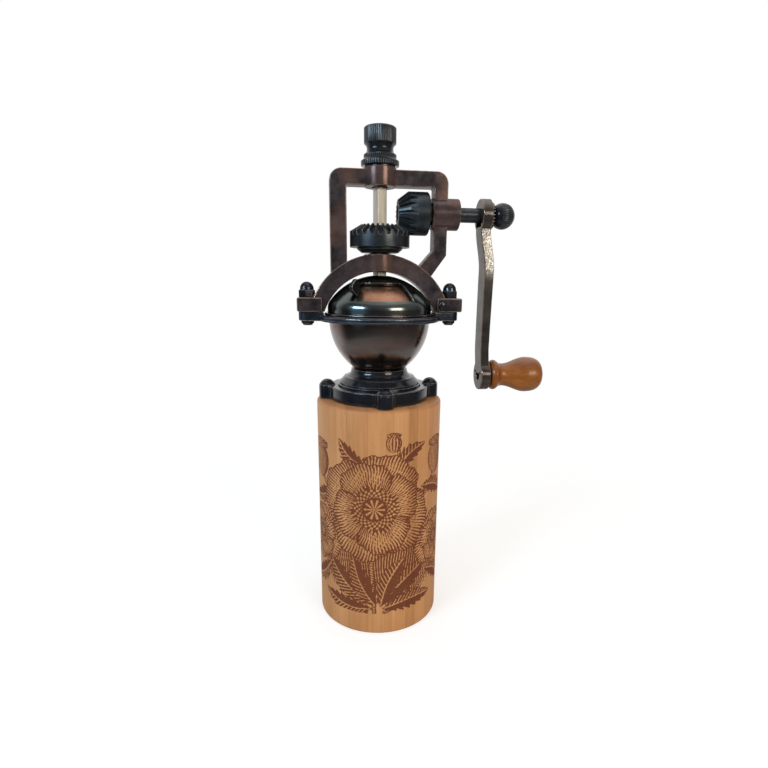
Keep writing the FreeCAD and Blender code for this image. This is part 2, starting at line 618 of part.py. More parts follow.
def bridge_frame():
    """One casting: feet and arch over the dome, square frame above, bosses for spindle and crank."""
    body = new_body("bridge_frame")
    outer, inner = arch_radius, arch_bore_radius

    def outer_at(height):
        return root(outer * outer - (height - arch_centre) * (height - arch_centre))

    def inner_at(height):
        return root(inner * inner - (height - arch_bore_centre) * (height - arch_bore_centre))

    arch = new_sketch(body, "XZ")
    draw(arch, [
        (inner_at(foot_bottom), foot_bottom, -inner), (outer_at(foot_top), foot_bottom),
        (outer_at(foot_top), foot_top), (0, arch_boss_top, outer),
        (-outer_at(foot_top), foot_top, outer), (-outer_at(foot_top), foot_bottom),
        (-inner_at(foot_bottom), foot_bottom), (0, arch_bore_centre + inner, -inner)])
    pad(body, arch, s.arch_depth, middle=True)

    feet = new_sketch(body, "XZ")
    inside = dome_radius + s.foot_gap
    box(feet, inside, foot_bottom, ear_spread + s.foot_right_out, foot_top)
    box(feet, -(ear_spread + s.foot_left_out), foot_bottom, -inside, foot_top)
    pad(body, feet, s.foot_depth, middle=True)

    right_in = s.frame_right - s.right_bar_width
    left_in = s.frame_left - s.left_bar_width
    top = deck + s.frame_top
    corner = s.frame_corner
    knee_out, knee_in = deck + s.knee_outer_lift, deck + s.knee_inner_lift
    frame = new_sketch(body, "XZ")
    draw(frame, [
        (-s.frame_left, arch_centre + outer * 0.6), (-left_in, arch_centre + outer * 0.72),
        (-left_in, top - s.top_bar_height), (right_in, top - s.top_bar_height),
        (right_in, knee_in), (s.knee_foot_inner, arch_centre + outer * 0.8),
        (s.knee_foot_outer, arch_centre + outer * 0.65), (s.frame_right, knee_out),
        (s.frame_right, top - corner), (s.frame_right - corner, top, corner),
        (corner - s.frame_left, top), (-s.frame_left, top - corner, corner)])
    pad(body, frame, s.frame_depth, middle=True)

    for radius, low, high in (
            (s.top_boss_radius, deck + s.top_boss_lift, boss_top),
            (s.arch_boss_radius, arch_boss_bottom, arch_boss_top)):
        boss = new_sketch(body, "XY", lift=low)
        circle(boss, 0, 0, radius)
        pad(body, boss, high - low)
    side = new_sketch(body, "YZ", lift=right_in)
    circle(side, 0, crank_axis, s.crank_boss_radius)
    pad(body, side, s.crank_boss_length)

    nut_seat = s.nut_flats / 2 / cosine(as_size(30)) + s.fit_gap
    bores = (
        ("XY", boss_top, 0, 0, s.top_bore_radius, s.top_boss_height + 1),
        ("XY", arch_boss_top, 0, 0, spindle_corner() + s.running_gap, arch_boss_top - arch_boss_bottom + 1),
        ("YZ", crank_boss_end, 0, crank_axis, s.crank_shaft_radius + s.running_gap,
         s.crank_boss_length + 1),
        ("XY", foot_top, ear_spread, 0, s.bolt_radius + s.fit_gap, s.foot_height + 1),
        ("XY", foot_top, -ear_spread, 0, s.bolt_radius + s.fit_gap, s.foot_height + 1),
        ("XY", foot_top + s.nut_height, ear_spread, 0, nut_seat, s.nut_height),
        ("XY", foot_top + s.nut_height, -ear_spread, 0, nut_seat, s.nut_height))
    for plane, lift, x, y, radius, depth in bores:
        hole = new_sketch(body, plane, lift=lift)
        circle(hole, x, y, radius)
        cut(body, hole, depth)
    tapped = new_sketch(body, "XZ", lift=s.foot_depth / 2)
    circle(tapped, foot_screw_place, (foot_bottom + foot_top) / 2, s.foot_screw_radius * 0.6)
    cut(body, tapped, 4.2)
    return keep(body)


def spindle_corner():
    """Radius that the square spindle's corners sweep."""
    return s.spindle_square / math.sqrt(2)


def clamp_bolt():
    """Round-headed bolt that clamps ring and foot together from below."""
    body = new_body("clamp_bolt_piece")
    soft = s.bolt_head_round
    reach = s.ear_height + s.foot_height + s.nut_hex_height + 1.4
    turned(body, [
        (0, -s.bolt_head_height), (s.bolt_head_radius - soft, -s.bolt_head_height),
        (s.bolt_head_radius, soft - s.bolt_head_height, soft), (s.bolt_head_radius, 0),
        (s.bolt_radius, 0), (s.bolt_radius, reach), (0, reach)])
    sides = [(ear_spread * side, 0, ring_bottom, 0) for side in (-1, 1)]
    return copies("clamp_bolts", body, sides)


def cap_nut():
    """Hexagon nut with a domed cap and a blind thread."""
    body = new_body("cap_nut_piece")
    flats = new_sketch(body, "XY")
    polygon(flats, s.nut_flats)
    pad(body, flats, s.nut_hex_height)
    cap = s.nut_cap_radius
    turned(body, [
        (0, 0.5), (cap, 0.5), (cap, s.nut_height - cap), (0, s.nut_height, cap)])
    bore = new_sketch(body, "XY")
    circle(bore, 0, 0, s.bolt_radius + s.thread_gap)
    cut(body, bore, s.nut_hex_height + 1.6, reverse=True)
    sides = [(ear_spread * side, 0, foot_top, 20) for side in (-1, 1)]
    return copies("cap_nuts", body, sides)


def foot_screw():
    """Small round-headed screw in the front of the right foot."""
    body = new_body("foot_screw", x=foot_screw_place, y=-s.foot_depth / 2,
                    z=(foot_bottom + foot_top) / 2)
    head = s.foot_screw_radius
    rise = head * 0.6
    crown = (head * head + rise * rise) / rise / 2
    shank = head * 0.6 - s.thread_gap
    sketch = new_sketch(body, "YZ")
    draw(sketch, [(-rise, 0), (0, head, -crown), (0, shank), (4, shank), (4, 0)])
    item = feature(body, "Revolution", sketch)
    item.ReferenceAxis = (sketch, ["H_Axis"])
    item.Angle = 360
    return keep(body)


# ---------------------------------------------------------------- spindle and adjusting nut


def spindle():
    """Square bar threaded at both ends; it turns the male burr and slides to set the grind."""
    body = new_body("spindle")
    bind(body, "Placement.Rotation.Angle", s.spindle_turn)
    low = s.spindle_bottom + s.end_nut_height + 1.0
    high = deck + s.spindle_square_top
    bar = new_sketch(body, "XY", lift=low)
    square(bar, s.spindle_square)
    pad(body, bar, high - low)
    thread = new_sketch(body, "XY", lift=high)
    circle(thread, 0, 0, s.spindle_thread_radius)
    pad(body, thread, s.spindle_thread_length)
    tail = new_sketch(body, "XY", lift=s.spindle_bottom)
    circle(tail, 0, 0, s.spindle_end_radius)
    pad(body, tail, low - s.spindle_bottom)
    return keep(body)


def adjusting_nut():
    """Stepped thumb nut: its pilot turns in the top boss, its rim bears on the thrust washer."""
    body = new_body("adjusting_nut")
    thread = s.spindle_thread_radius + s.thread_gap
    pilot = s.top_bore_radius - s.running_gap
    base = nut_bottom
    tier = base + s.tier_lift
    knob = base + s.knob_lift
    top = knob + s.knob_height + s.knob_chamfer
    tier_top = tier + s.tier_height
    waist = s.nut_neck_radius + 0.6
    turned(body, [
        (0, top - 2), (thread, top - 2), (thread, base - s.pilot_length),
        (pilot, base - s.pilot_length), (pilot, base), (s.rim_radius, base),
        (s.rim_radius, base + s.rim_height), (s.tier_radius + 0.2, tier - 0.4),
        (s.tier_radius, tier), (s.tier_radius, tier_top), (waist, tier_top + 1.0),
        (waist, knob - 0.9, -s.nut_neck_curve), (s.knob_radius, knob),
        (s.knob_radius, knob + s.knob_height), (s.knob_radius - s.knob_chamfer, top), (0, top)])
    return keep(body)


def washer(label, low, height, radius, bore, x_axis=False):
    """Flat washer about the spindle, or about the crank where x_axis is set."""
    body = new_body(label)
    plane = "YZ" if x_axis else "XY"
    plate = new_sketch(body, plane, lift=low)
    centre = x_axis if x_axis else 0
    circle(plate, 0, centre, radius)
    circle(plate, 0, centre, bore)
    pad(body, plate, height)
    return keep(body)


def c_washer():
    """Open washer on the arch boss that carries the crown gear's hub."""
    body = new_body("gear_washer")
    low, high = arch_boss_top, deck + s.crown_foot_lift
    half = s.c_washer_opening / 2
    outer, inner = s.c_washer_radius, spindle_corner() + s.fit_gap
    plate = new_sketch(body, "XY", lift=low)
    draw(plate, [
        (inner * sine(half), -inner * cosine(half), -inner),
        (outer * sine(half), -outer * cosine(half)), (0, outer, outer),
        (-outer * sine(half), -outer * cosine(half), outer),
        (-inner * sine(half), -inner * cosine(half)), (0, inner, -inner)])
    pad(body, plate, high - low)
    return keep(body)


# ---------------------------------------------------------------- bevel gears


def tooth_gaps(label, pitch, mate_pitch, count, turn):
    """Wedges between bevel teeth. They taper to the cones' apex at the origin; the gear lies
    along +Z from there, so each wedge is one trapezium drawn towards the apex."""
    slant = math.hypot(pitch, mate_pitch)
    over = 2.2
    flank = math.tan(math.radians(s.flank_angle.value))
    corners = []
    for rise, side in ((-s.tooth_root.value, -1), (-s.tooth_root.value, 1), (over, 1), (over, -1)):
        half = s.gap_width.value / 2 + rise * flank
        corners.append(Vector(
            pitch + rise * mate_pitch / slant, side * half, mate_pitch - rise * pitch / slant))
    wires = []
    for share in (1.45, s.toe_share.value * 0.7):
        points = [corner * share for corner in corners]
        wires.append(Part.makePolygon(points + points[:1]))
    wedge = Part.makeLoft(wires, True, True)
    wedges = []
    for index in range(count):
        copy = wedge.copy()
        copy.rotate(Vector(), Vector(0, 0, 1), turn + 360.0 * index / count)
        wedges.append(copy)
    tool = doc.addObject("Part::Feature", f"{label}_gaps")
    tool.Shape = Part.Compound(wedges)
    return tool


def toothed(label, blank, tool):
    gear = doc.addObject("Part::Cut", label)
    gear.Label = label
    gear.Base = blank
    gear.Tool = tool
    return keep(gear)


def cone_place(pitch, mate_pitch, rise, share):
    """(radius, distance from the apex) of a point that stands out from the pitch cone by rise."""
    slant = root(pitch * pitch + mate_pitch * mate_pitch)
    radius = (pitch + rise * mate_pitch / slant) * share
    depth = (mate_pitch - rise * pitch / slant) * share
    return radius, depth


def crown_gear():
    """Driven bevel gear: square-bored, hub on the open washer, teeth facing up."""
    body = new_body("crown_blank")
    pitch, mate = s.crown_pitch_radius, pinion_pitch_radius
    heel = cone_place(pitch, mate, s.tooth_rise, 1)
    toe = cone_place(pitch, mate, s.tooth_rise, s.toe_share)
    rim_share = s.crown_rim_radius / heel[0]
    face = crank_axis - toe[1] - s.crown_face_drop
    foot, rim = deck + s.crown_foot_lift, deck + s.crown_rim_lift
    turned(body, [
        (0, foot), (s.crown_foot_radius, foot), (s.crown_hub_radius, foot + s.crown_chamfer),
        (s.crown_hub_radius, rim), (s.crown_rim_radius, rim),
        (s.crown_rim_radius, crank_axis - heel[1] * rim_share), (toe[0], crank_axis - toe[1]),
        (toe[0] - 0.7, face), (0, face)])
    hole = new_sketch(body, "XY", turn=s.spindle_turn)
    square(hole, s.spindle_square + s.running_gap * 2)
    cut(body, hole)
    gaps = tooth_gaps("crown_gear", pitch.value, mate.value, int(s.crown_teeth.value),
                      -s.crown_turn.value)
    gaps.Placement = FreeCAD.Placement(
        Vector(0, 0, crank_axis.value), FreeCAD.Rotation(Vector(1, 0, 0), 180))
    bind(gaps, "Placement.Base.z", crank_axis)
    return toothed("crown_gear", body, gaps)


def pinion():
    """Driving bevel gear on the crank shaft, with a plain barrel behind its teeth."""
    body = new_body("pinion_blank", z=crank_axis)
    pitch, mate = pinion_pitch_radius, s.crown_pitch_radius
    heel = cone_place(pitch, mate, s.tooth_rise, 1)
    toe = cone_place(pitch, mate, s.tooth_rise, s.toe_share)
    barrel_share = s.pinion_radius / heel[0]
    bore = s.crank_shaft_radius + 0.03
    edge = s.pinion_edge
    turned(body, [
        (toe[1], bore), (s.pinion_back, bore), (s.pinion_back, s.pinion_radius - edge),
        (s.pinion_back - edge, s.pinion_radius), (heel[1] * barrel_share, s.pinion_radius),
        (toe[1], toe[0]), (toe[1], s.pinion_nose_radius)][::-1], axis="H_Axis")
    grub = new_sketch(body, "XZ", lift=-s.pinion_radius)
    circle(grub, s.pinion_back - 4.2, 0, s.grub_radius + s.thread_gap)
    cut(body, grub, s.pinion_radius - s.crank_shaft_radius + 0.5, reverse=True)
    half_tooth = 180.0 / s.pinion_teeth.value
    ratio = s.crown_teeth.value / s.pinion_teeth.value
    gaps = tooth_gaps("pinion", pitch.value, mate.value, int(s.pinion_teeth.value),
                      half_tooth + s.crown_turn.value * ratio)
    gaps.Placement = FreeCAD.Placement(
        Vector(0, 0, crank_axis.value), FreeCAD.Rotation(Vector(0, 1, 0), 90))
    bind(gaps, "Placement.Base.z", crank_axis)
    return toothed("pinion", body, gaps)


def grub_screw():
    """Headless screw that locks the pinion to the shaft, entered from the back."""
    body = new_body("pinion_grub_screw", x=s.pinion_back - 4.2, z=crank_axis)
    low = s.crank_shaft_radius + 0.05
    stud = new_sketch(body, "XZ", lift=-low)
    circle(stud, 0, 0, s.grub_radius)
    pad(body, stud, s.grub_length).Reversed = True
    socket = new_sketch(body, "XZ", lift=-(low + s.grub_length))
    polygon(socket, s.grub_radius)
    cut(body, socket, 1.6, reverse=True)
    return keep(body)


# ---------------------------------------------------------------- crank, arm and grip


def crank_shaft():
    """Round shaft, squared where it carries the arm and threaded for the ball nut."""
    body = new_body("crank_shaft", z=crank_axis)
    round_part = new_sketch(body, "YZ", lift=s.crank_shaft_inner)
    circle(round_part, 0, 0, s.crank_shaft_radius)
    pad(body, round_part, s.arm_inner - s.crank_shaft_inner)
    squared = new_sketch(body, "YZ", lift=s.arm_inner)
    square(squared, s.arm_square)
    pad(body, squared, s.arm_thickness)
    thread = new_sketch(body, "YZ", lift=arm_outer)
    circle(thread, 0, 0, s.crank_thread_radius - s.thread_gap)
    pad(body, thread, s.crank_thread_length)
    return keep(body)


def arm_wall(wall, foot_wall):
    """One side of the arm from its top eye down to its lower eye, as a list of corners."""
    bow, bend = s.arm_bow, s.arm_bend
    high = crank_axis - s.eye_radius * 0.7
    upper = (bow * bow + bend * bend) / bow / 4
    low = grip_axis + s.grip_eye_radius * 0.3
    step = s.arm_set
    fall = s.foot_bend
    lower = (step * step + fall * fall) / step / 4
    middle = wall + bow
    return [
        (wall, high), (wall + bow / 2, high - bend / 2, upper), (middle, high - bend, -upper),
        (middle, low + fall), (middle + step / 2, low + fall / 2, lower),
        (foot_wall, low, -lower)]


def crank_arm():
    """Flat arm with two gentle bends and an eye at each end, hanging straight down."""
    body = new_body("crank_arm")
    left = arm_wall(s.arm_inner, grip_eye_inner)
    right = arm_wall(arm_outer, grip_eye_outer)
    back = []
    for index in range(len(right) - 1, -1, -1):
        corner = right[index]
        after = right[index + 1] if index + 1 < len(right) else (0, 0)
        back.append((corner[0], corner[1], -after[2]) if len(after) == 3 else corner[:2])
    blade = new_sketch(body, "XZ")
    draw(blade, left + [(grip_eye_inner, grip_axis), (grip_eye_outer, grip_axis)] + back
         + [(arm_outer, crank_axis), (s.arm_inner, crank_axis)])
    pad(body, blade, s.arm_width, middle=True)
    for low, height, radius in (
            (s.arm_inner, crank_axis, s.eye_radius), (grip_eye_inner, grip_axis, s.grip_eye_radius)):
        eye = new_sketch(body, "YZ", lift=low)
        circle(eye, 0, height, radius)
        pad(body, eye, s.arm_thickness)
    hole = new_sketch(body, "YZ", lift=arm_outer)
    side = s.arm_square / 2 + s.thread_gap
    box(hole, -side, crank_axis - side, side, crank_axis + side)
    cut(body, hole, s.arm_thickness + 1)
    thread = new_sketch(body, "YZ", lift=grip_eye_outer)
    circle(thread, 0, grip_axis, s.axle_radius - s.running_gap * 2 + s.thread_gap)
    cut(body, thread, s.arm_thickness + 1)
    recess = new_sketch(body, "YZ", lift=grip_eye_inner)
    circle(recess, 0, grip_axis, s.eye_recess_radius)
    cut(body, recess, s.eye_recess_depth, reverse=True)
    return keep(body)


def lock_washer():
    return washer("lock_washer", arm_outer, s.lock_washer_height, s.lock_washer_radius,
                  s.crank_thread_radius + s.fit_gap, x_axis=crank_axis)


def ball_nut():
    """Ball-shaped nut with a short neck on the end of the crank shaft."""
    body = new_body("ball_nut", z=crank_axis)
    start = arm_outer + s.lock_washer_height
    neck, thread = s.ball_neck_radius, s.crank_thread_radius
    first = start + s.ball_neck_length
    ball, end = s.ball_radius, s.ball_end_radius
    middle = first + root(ball * ball - neck * neck)
    last = middle + root(ball * ball - end * end)
    blind = arm_outer + s.crank_thread_length + 0.6
    turned(body, [
        (start, thread), (start, neck), (first, neck), (middle, ball, -ball), (last, end, -ball),
        (last, 0), (blind, 0),
        (blind, thread)], axis="H_Axis")
    return keep(body)


def grip():
    """Lacquered wooden grip: bead, neck and swelling barrel, bored for its axle."""
    body = new_body("grip", x=grip_start, z=grip_axis)
    bead, neck, swell = s.bead_radius, s.grip_neck_radius, s.swell_radius
    bore = s.axle_radius + s.running_gap
    well = s.axle_head_radius + s.fit_gap * 3
    sink = s.grip_length - s.axle_sink
    bead_end = s.bead_length
    half = bead_end / 2
    foot = bead - 1.2
    bead_bend = span_radius(bead - foot, half)
    cove = span_radius(foot - neck, s.grip_neck_place - bead_end)
    run = (s.swell_place - s.grip_neck_place) / 2
    climb = (swell - neck) / 2
    flare = span_radius(climb, run)
    crown = span_radius(swell - s.grip_end_radius, s.grip_length - s.swell_place)
    middle = s.grip_neck_place + run
    turned(body, [
        (0, bore), (0, foot), (half, bead, -bead_bend), (bead_end, foot, -bead_bend),
        (s.grip_neck_place, neck, cove), (middle, neck + climb, flare),
        (s.swell_place, swell, -flare), (s.grip_length, s.grip_end_radius, -crown),
        (s.grip_length, well), (sink, well), (sink, bore)], axis="H_Axis")
    return keep(body)


def grip_axle():
    """Shoulder screw: slotted head in the grip's end, shoulder as axle, thread in the arm's eye."""
    body = new_body("grip_axle", x=grip_start, z=grip_axis)
    thread = s.axle_radius - s.running_gap * 2
    sink = s.grip_length - s.axle_sink + s.fit_gap
    head = s.axle_head_height
    start = s.eye_recess_depth - s.arm_thickness - s.grip_washer_height
    turned(body, [
        (start, 0), (start, thread), (-s.grip_washer_height, thread),
        (-s.grip_washer_height, s.axle_radius), (sink, s.axle_radius), (sink, s.axle_head_radius),
        (sink + head, s.axle_head_radius), (sink + head, 0)], axis="H_Axis")
    slot = new_sketch(body, "YZ", lift=sink + head)
    box(slot, -s.axle_head_radius, -s.screw_slot_width / 2, s.axle_head_radius, s.screw_slot_width / 2)
    cut(body, slot, s.screw_slot_depth)
    return keep(body)


# ---------------------------------------------------------------- burr set


def ring_burr():
    """Fixed burr: a flanged steel ring with a cone-shaped mouth, screwed up into the body."""
    body = new_body("ring_burr")
    low, high, step = s.ring_burr_lift, s.ring_burr_top, s.foot_recess_depth
    turned(body, [
        (s.ring_burr_mouth, low), (s.ring_burr_flange, low), (s.ring_burr_flange, step),
        (s.ring_burr_radius, step), (s.ring_burr_radius, high), (s.ring_burr_throat, high)])
    holes = new_sketch(body, "XY", lift=step)
    circle(holes, 0, s.burr_screw_circle, s.burr_screw_shank + s.fit_gap)
    drilled = cut(body, holes, step - low + 1)
    around(body, [drilled], s.burr_screw_count)
    return keep(body)


def cone_burr():
    """Turning burr: a fluted cone with a square hole, seated between spring and end nut."""
    body = new_body("cone_burr")
    high, tall = s.cone_burr_top, s.cone_burr_height
    low = high - tall
    turned(body, [
        (0, low), (s.cone_burr_skirt, low), (s.cone_burr_skirt - 0.9, low + s.cone_burr_land),
        (s.cone_burr_nose, high), (0, high)])
    hole = new_sketch(body, "XY", turn=s.spindle_turn)
    square(hole, s.spindle_square + s.running_gap)
    cut(body, hole)
    flute = new_sketch(body, "XY", lift=high)
    reach = s.cone_burr_skirt
    draw(flute, [(s.cone_burr_nose - 1.2, 0), (reach, -1.6), (reach, 1.6)])
    groove = cut(body, flute, tall - s.cone_burr_land)
    around(body, [groove], as_size(6))
    return keep(body)


def spindle_guide():
    """Three-armed guide between burr ring and body: centres the spindle and seats the spring."""
    body = new_body("spindle_guide")
    rim = new_sketch(body, "XY", lift=guide_bottom)
    circle(rim, 0, 0, s.ring_burr_radius)
    circle(rim, 0, 0, s.wood_bore_radius - 0.5)
    pad(body, rim, s.guide_height)
    arm = new_sketch(body, "XY", lift=guide_bottom)
    box(arm, -s.guide_arm_width / 2, s.guide_hub_radius - 1, s.guide_arm_width / 2, s.wood_bore_radius)
    spoke = pad(body, arm, s.guide_height)
    around(body, [spoke], s.guide_arms)
    hub = new_sketch(body, "XY", lift=guide_bottom)
    circle(hub, 0, 0, s.guide_hub_radius)
    pad(body, hub, s.guide_hub_height)
    bore = new_sketch(body, "XY", lift=guide_bottom + s.guide_hub_height)
    circle(bore, 0, 0, spindle_corner() + s.running_gap)
    cut(body, bore, s.guide_hub_height + 1)
    return keep(body)


def burr_spring():
    """Round-wire coil spring that presses the cone burr down onto its nut. Its centre line is a
    helix taken in short straight runs with mitred joints."""
    wire = s.spring_wire.value
    low = s.cone_burr_top.value + wire + 0.02
    rise = guide_bottom.value - wire - 0.02 - low
    steps = int(s.spring_turns.value * s.spring_runs.value)
    turns = [2 * math.pi * index / s.spring_runs.value for index in range(steps + 1)]
    reach = s.spring_radius.value
    line = [Vector(reach * math.cos(turn), reach * math.sin(turn), rise * index / steps)
            for index, turn in enumerate(turns)]
    section = Part.Wire(Part.makeCircle(wire, line[0], line[1] - line[0]))
    coil = doc.addObject("Part::Feature", "burr_spring")
    coil.Label = "burr_spring"
    mitred = 1
    coil.Shape = Part.Wire(Part.makePolygon(line).Edges).makePipeShell([section], True, False, mitred)
    coil.Placement = FreeCAD.Placement(Vector(0, 0, low), FreeCAD.Rotation())
    bind(coil, "Placement.Base.z", s.cone_burr_top + s.spring_wire + 0.02)
    return keep(coil)


def burr_screw():
    """Pan-headed screw that holds the ring burr; head up-side at its own origin."""
    body = new_body("burr_screw_piece")
    shank = s.burr_screw_shank
    reach = s.foot_recess_depth - s.ring_burr_lift + s.burr_screw_bite
    turned(body, [
        (0, -s.burr_screw_height), (s.burr_screw_head - 0.4, -s.burr_screw_height),
        (s.burr_screw_head, 0.4 - s.burr_screw_height, 0.4), (s.burr_screw_head, 0), (shank, 0),
        (shank, reach - 1.2), (0, reach)])
    slot = new_sketch(body, "XY", lift=-s.burr_screw_height)
    box(slot, -s.burr_screw_head, -0.3, s.burr_screw_head, 0.3)
    cut(body, slot, 0.6, reverse=True)
    places = ring_places(s.burr_screw_circle, 3, s.ring_burr_lift, 90)
    return copies("burr_screws", body, places)


def end_nut():
    """Hexagon nut on the spindle's tail, under the cone burr."""
    body = new_body("spindle_end_nut")
    low = s.cone_burr_top - s.cone_burr_height - s.end_nut_height
    flats = new_sketch(body, "XY", lift=low)
    polygon(flats, s.end_nut_flats)
    pad(body, flats, s.end_nut_height)
    bore = new_sketch(body, "XY", lift=low + s.end_nut_height)
    circle(bore, 0, 0, s.spindle_end_radius + s.thread_gap)
    cut(body, bore, s.end_nut_height + 1)
    return keep(body)


# ---------------------------------------------------------------- build, check and write

makers = [
    wood_body, base_flange, flange_screw, bowl, rim_ring, dome, door, door_tab, door_clip,
    bridge_frame, clamp_bolt, cap_nut, foot_screw, spindle, adjusting_nut, c_washer, crown_gear,
    pinion, grub_screw, crank_shaft, crank_arm, lock_washer, ball_nut, grip, grip_axle,
    ring_burr, cone_burr, spindle_guide, burr_spring, burr_screw, end_nut]
for make in makers:
    make()
washer("thrust_washer", boss_top, s.thrust_height, s.thrust_radius, s.top_bore_radius + s.fit_gap)
washer("pinion_spacer", s.pinion_back, s.frame_right - s.right_bar_width - s.pinion_back,
       s.spacer_radius, s.crank_shaft_radius + s.running_gap, x_axis=crank_axis)
washer("grip_washer", grip_eye_outer, s.grip_washer_height, s.grip_washer_radius,
       s.axle_radius + s.fit_gap, x_axis=grip_axis)

doc.recompute()
for item in doc.Objects:
    faults = [state for state in item.State if state in ("Invalid", "Error")]
    if faults:
        raise SystemExit(f"{item.Label} is {faults[0]}")
for part in parts:
    if part.Shape.isNull() or not part.Shape.isValid() or not part.Shape.Solids:
        raise SystemExit(f"{part.Label} has no valid solid")

os.makedirs("parts", exist_ok=True)
for part in parts:
    part.Shape.exportStep(f"parts/{part.Label}.step")
    bounds = part.Shape.BoundBox
    print(f"{part.Label}: {len(part.Shape.Solids)} solid(s), {part.Shape.Volume:.1f} mm3, "
          f"z {bounds.ZMin:.2f} to {bounds.ZMax:.2f}")
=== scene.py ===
import math

import bmesh
import bpy
import numpy as np
from mathutils import Euler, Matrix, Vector
from mathutils.geometry import tessellate_polygon


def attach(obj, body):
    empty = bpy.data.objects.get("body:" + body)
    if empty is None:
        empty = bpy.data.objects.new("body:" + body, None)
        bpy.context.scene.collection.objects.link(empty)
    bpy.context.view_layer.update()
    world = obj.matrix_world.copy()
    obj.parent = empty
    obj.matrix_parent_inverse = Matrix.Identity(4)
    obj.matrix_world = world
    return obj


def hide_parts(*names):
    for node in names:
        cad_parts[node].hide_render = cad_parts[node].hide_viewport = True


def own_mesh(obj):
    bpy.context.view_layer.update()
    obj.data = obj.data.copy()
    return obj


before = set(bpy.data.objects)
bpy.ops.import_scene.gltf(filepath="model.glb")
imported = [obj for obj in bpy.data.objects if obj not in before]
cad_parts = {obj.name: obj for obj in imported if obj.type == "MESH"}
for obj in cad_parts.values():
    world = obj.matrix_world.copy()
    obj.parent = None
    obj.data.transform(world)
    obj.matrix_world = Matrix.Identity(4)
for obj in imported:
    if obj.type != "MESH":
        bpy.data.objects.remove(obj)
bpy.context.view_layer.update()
print("frame loaded")

millimetre = 0.001  # the shapes below are in millimetres
bodyWidth = 62.0  # across the wooden body
deck = 114.5  # top of the wooden body
crankAxis = 201.7  # height of the crank shaft
gripAxis = 125.0  # height of the grip's axle
onDeck, onCrank, onGrip = (0, 0, deck), (0, 0, crankAxis), (0, 0, gripAxis)
fullTurn = 2 * math.pi


def pick(values, names):
    # the named values of a dictionary, in order
    return [values[name] for name in names.split()]


# colour and node helpers

def toLinear(code):
    # an sRGB hex colour as linear light with full alpha
    channels = np.array([int(code[i:i + 2], 16) for i in (1, 3, 5)]) / 255
    linear = np.where(channels <= 0.04045, channels / 12.92, ((channels + 0.055) / 1.055) ** 2.4)
    return (*(float(value) for value in linear), 1.0)


def addNode(tree, kind, inputs=None, **settings):
    # adds a node; inputs are values, hex colours or the sockets that feed them
    node = tree.nodes.new(kind)
    for name, value in settings.items():
        setattr(node, name, value)
    for name, value in (inputs or {}).items():
        if isinstance(value, bpy.types.NodeSocket):
            tree.links.new(value, node.inputs[name])
        else:
            node.inputs[name].default_value = toLinear(value) if isinstance(value, str) else value
    return node


def emptyTree(owner):
    # a cleared node tree on a material or the world
    owner.use_nodes = True
    owner.node_tree.nodes.clear()
    return owner.node_tree


def newMaterial(name, **constants):
    # a material with a Principled shader whose plain values sit on its own sockets
    material = bpy.data.materials.new(name)
    tree = emptyTree(material)
    shader = addNode(tree, "ShaderNodeBsdfPrincipled", constants)
    addNode(tree, "ShaderNodeOutputMaterial", {"Surface": shader.outputs["BSDF"]})
    place = addNode(tree, "ShaderNodeTexCoord").outputs["Object"]
    return material, tree, shader, place


def noiseOf(tree, place, size, stretch=(1, 1, 1), detail=3.0, rough=0.55):
    # noise whose grains are about size millimetres, stretched along an axis by a small factor
    mapped = addNode(tree, "ShaderNodeMapping", {"Vector": place, "Scale": stretch}).outputs["Vector"]
    return addNode(tree, "ShaderNodeTexNoise", {
        "Vector": mapped, "Scale": 1 / (size * millimetre), "Detail": detail,
        "Roughness": rough}).outputs["Fac"]


def rampOf(tree, value, stops, smooth="LINEAR"):
    # a colour ramp from (place, colour) stops; a plain number is a grey
    node = addNode(tree, "ShaderNodeValToRGB", {"Fac": value})
    node.color_ramp.interpolation = smooth
    elements = node.color_ramp.elements
    while len(elements) < len(stops):
        elements.new(0.5)
    for element, (place, colour) in zip(elements, stops):
        element.position = place
        element.color = toLinear(colour) if isinstance(colour, str) else (colour, colour, colour, 1)
    return node.outputs["Color"]


def mixOf(tree, factor, first, second, blend="MIX"):
    # the Mix node's sockets 0, 6 and 7 are its factor and two colours, and output 2 its colour
    return addNode(tree, "ShaderNodeMix", {0: factor, 6: first, 7: second},
                   data_type="RGBA", blend_type=blend).outputs[2]


def mathOf(tree, operation, *values, clamp=False):
    return addNode(tree, "ShaderNodeMath", dict(enumerate(values)),
                   operation=operation, use_clamp=clamp).outputs[0]


def scaled(tree, value, factor, shift=0.0, clamp=False):
    # value times factor plus shift
    return mathOf(tree, "MULTIPLY_ADD", value, factor, shift, clamp=clamp)


def sumOf(tree, *parts):
    # the sum of (value, weight) parts
    total = scaled(tree, *parts[0])
    for value, weight in parts[1:]:
        total = scaled(tree, value, weight, total)
    return total


def rangeOf(tree, value, low, high, smooth="SMOOTHSTEP", least=0.0):
    # least up to low, 1 from high, and a smooth or straight step between them
    return addNode(tree, "ShaderNodeMapRange", {
        "Value": value, "From Min": low, "From Max": high, "To Min": least},
        interpolation_type=smooth).outputs[0]


def blendOf(tree, factor, first, second):
    return addNode(tree, "ShaderNodeMixShader", {0: factor, 1: first, 2: second}).outputs[0]


def bumpOf(tree, shader, height, depth, strength=1.0):
    # depth is in millimetres
    feed(tree, shader, Normal=addNode(tree, "ShaderNodeBump", {
        "Height": height, "Distance": depth * millimetre, "Strength": strength}).outputs["Normal"])


def feed(tree, shader, **sockets):
    # links a pattern into the shader's named sockets, spaces written as underscores
    for name, value in sockets.items():
        tree.links.new(value, shader.inputs[name.replace("_", " ")])


def attributeOf(tree, name):
    # a value stored on the mesh's points, 0 where the mesh has none of that name
    return addNode(tree, "ShaderNodeAttribute", attribute_name=name).outputs["Fac"]


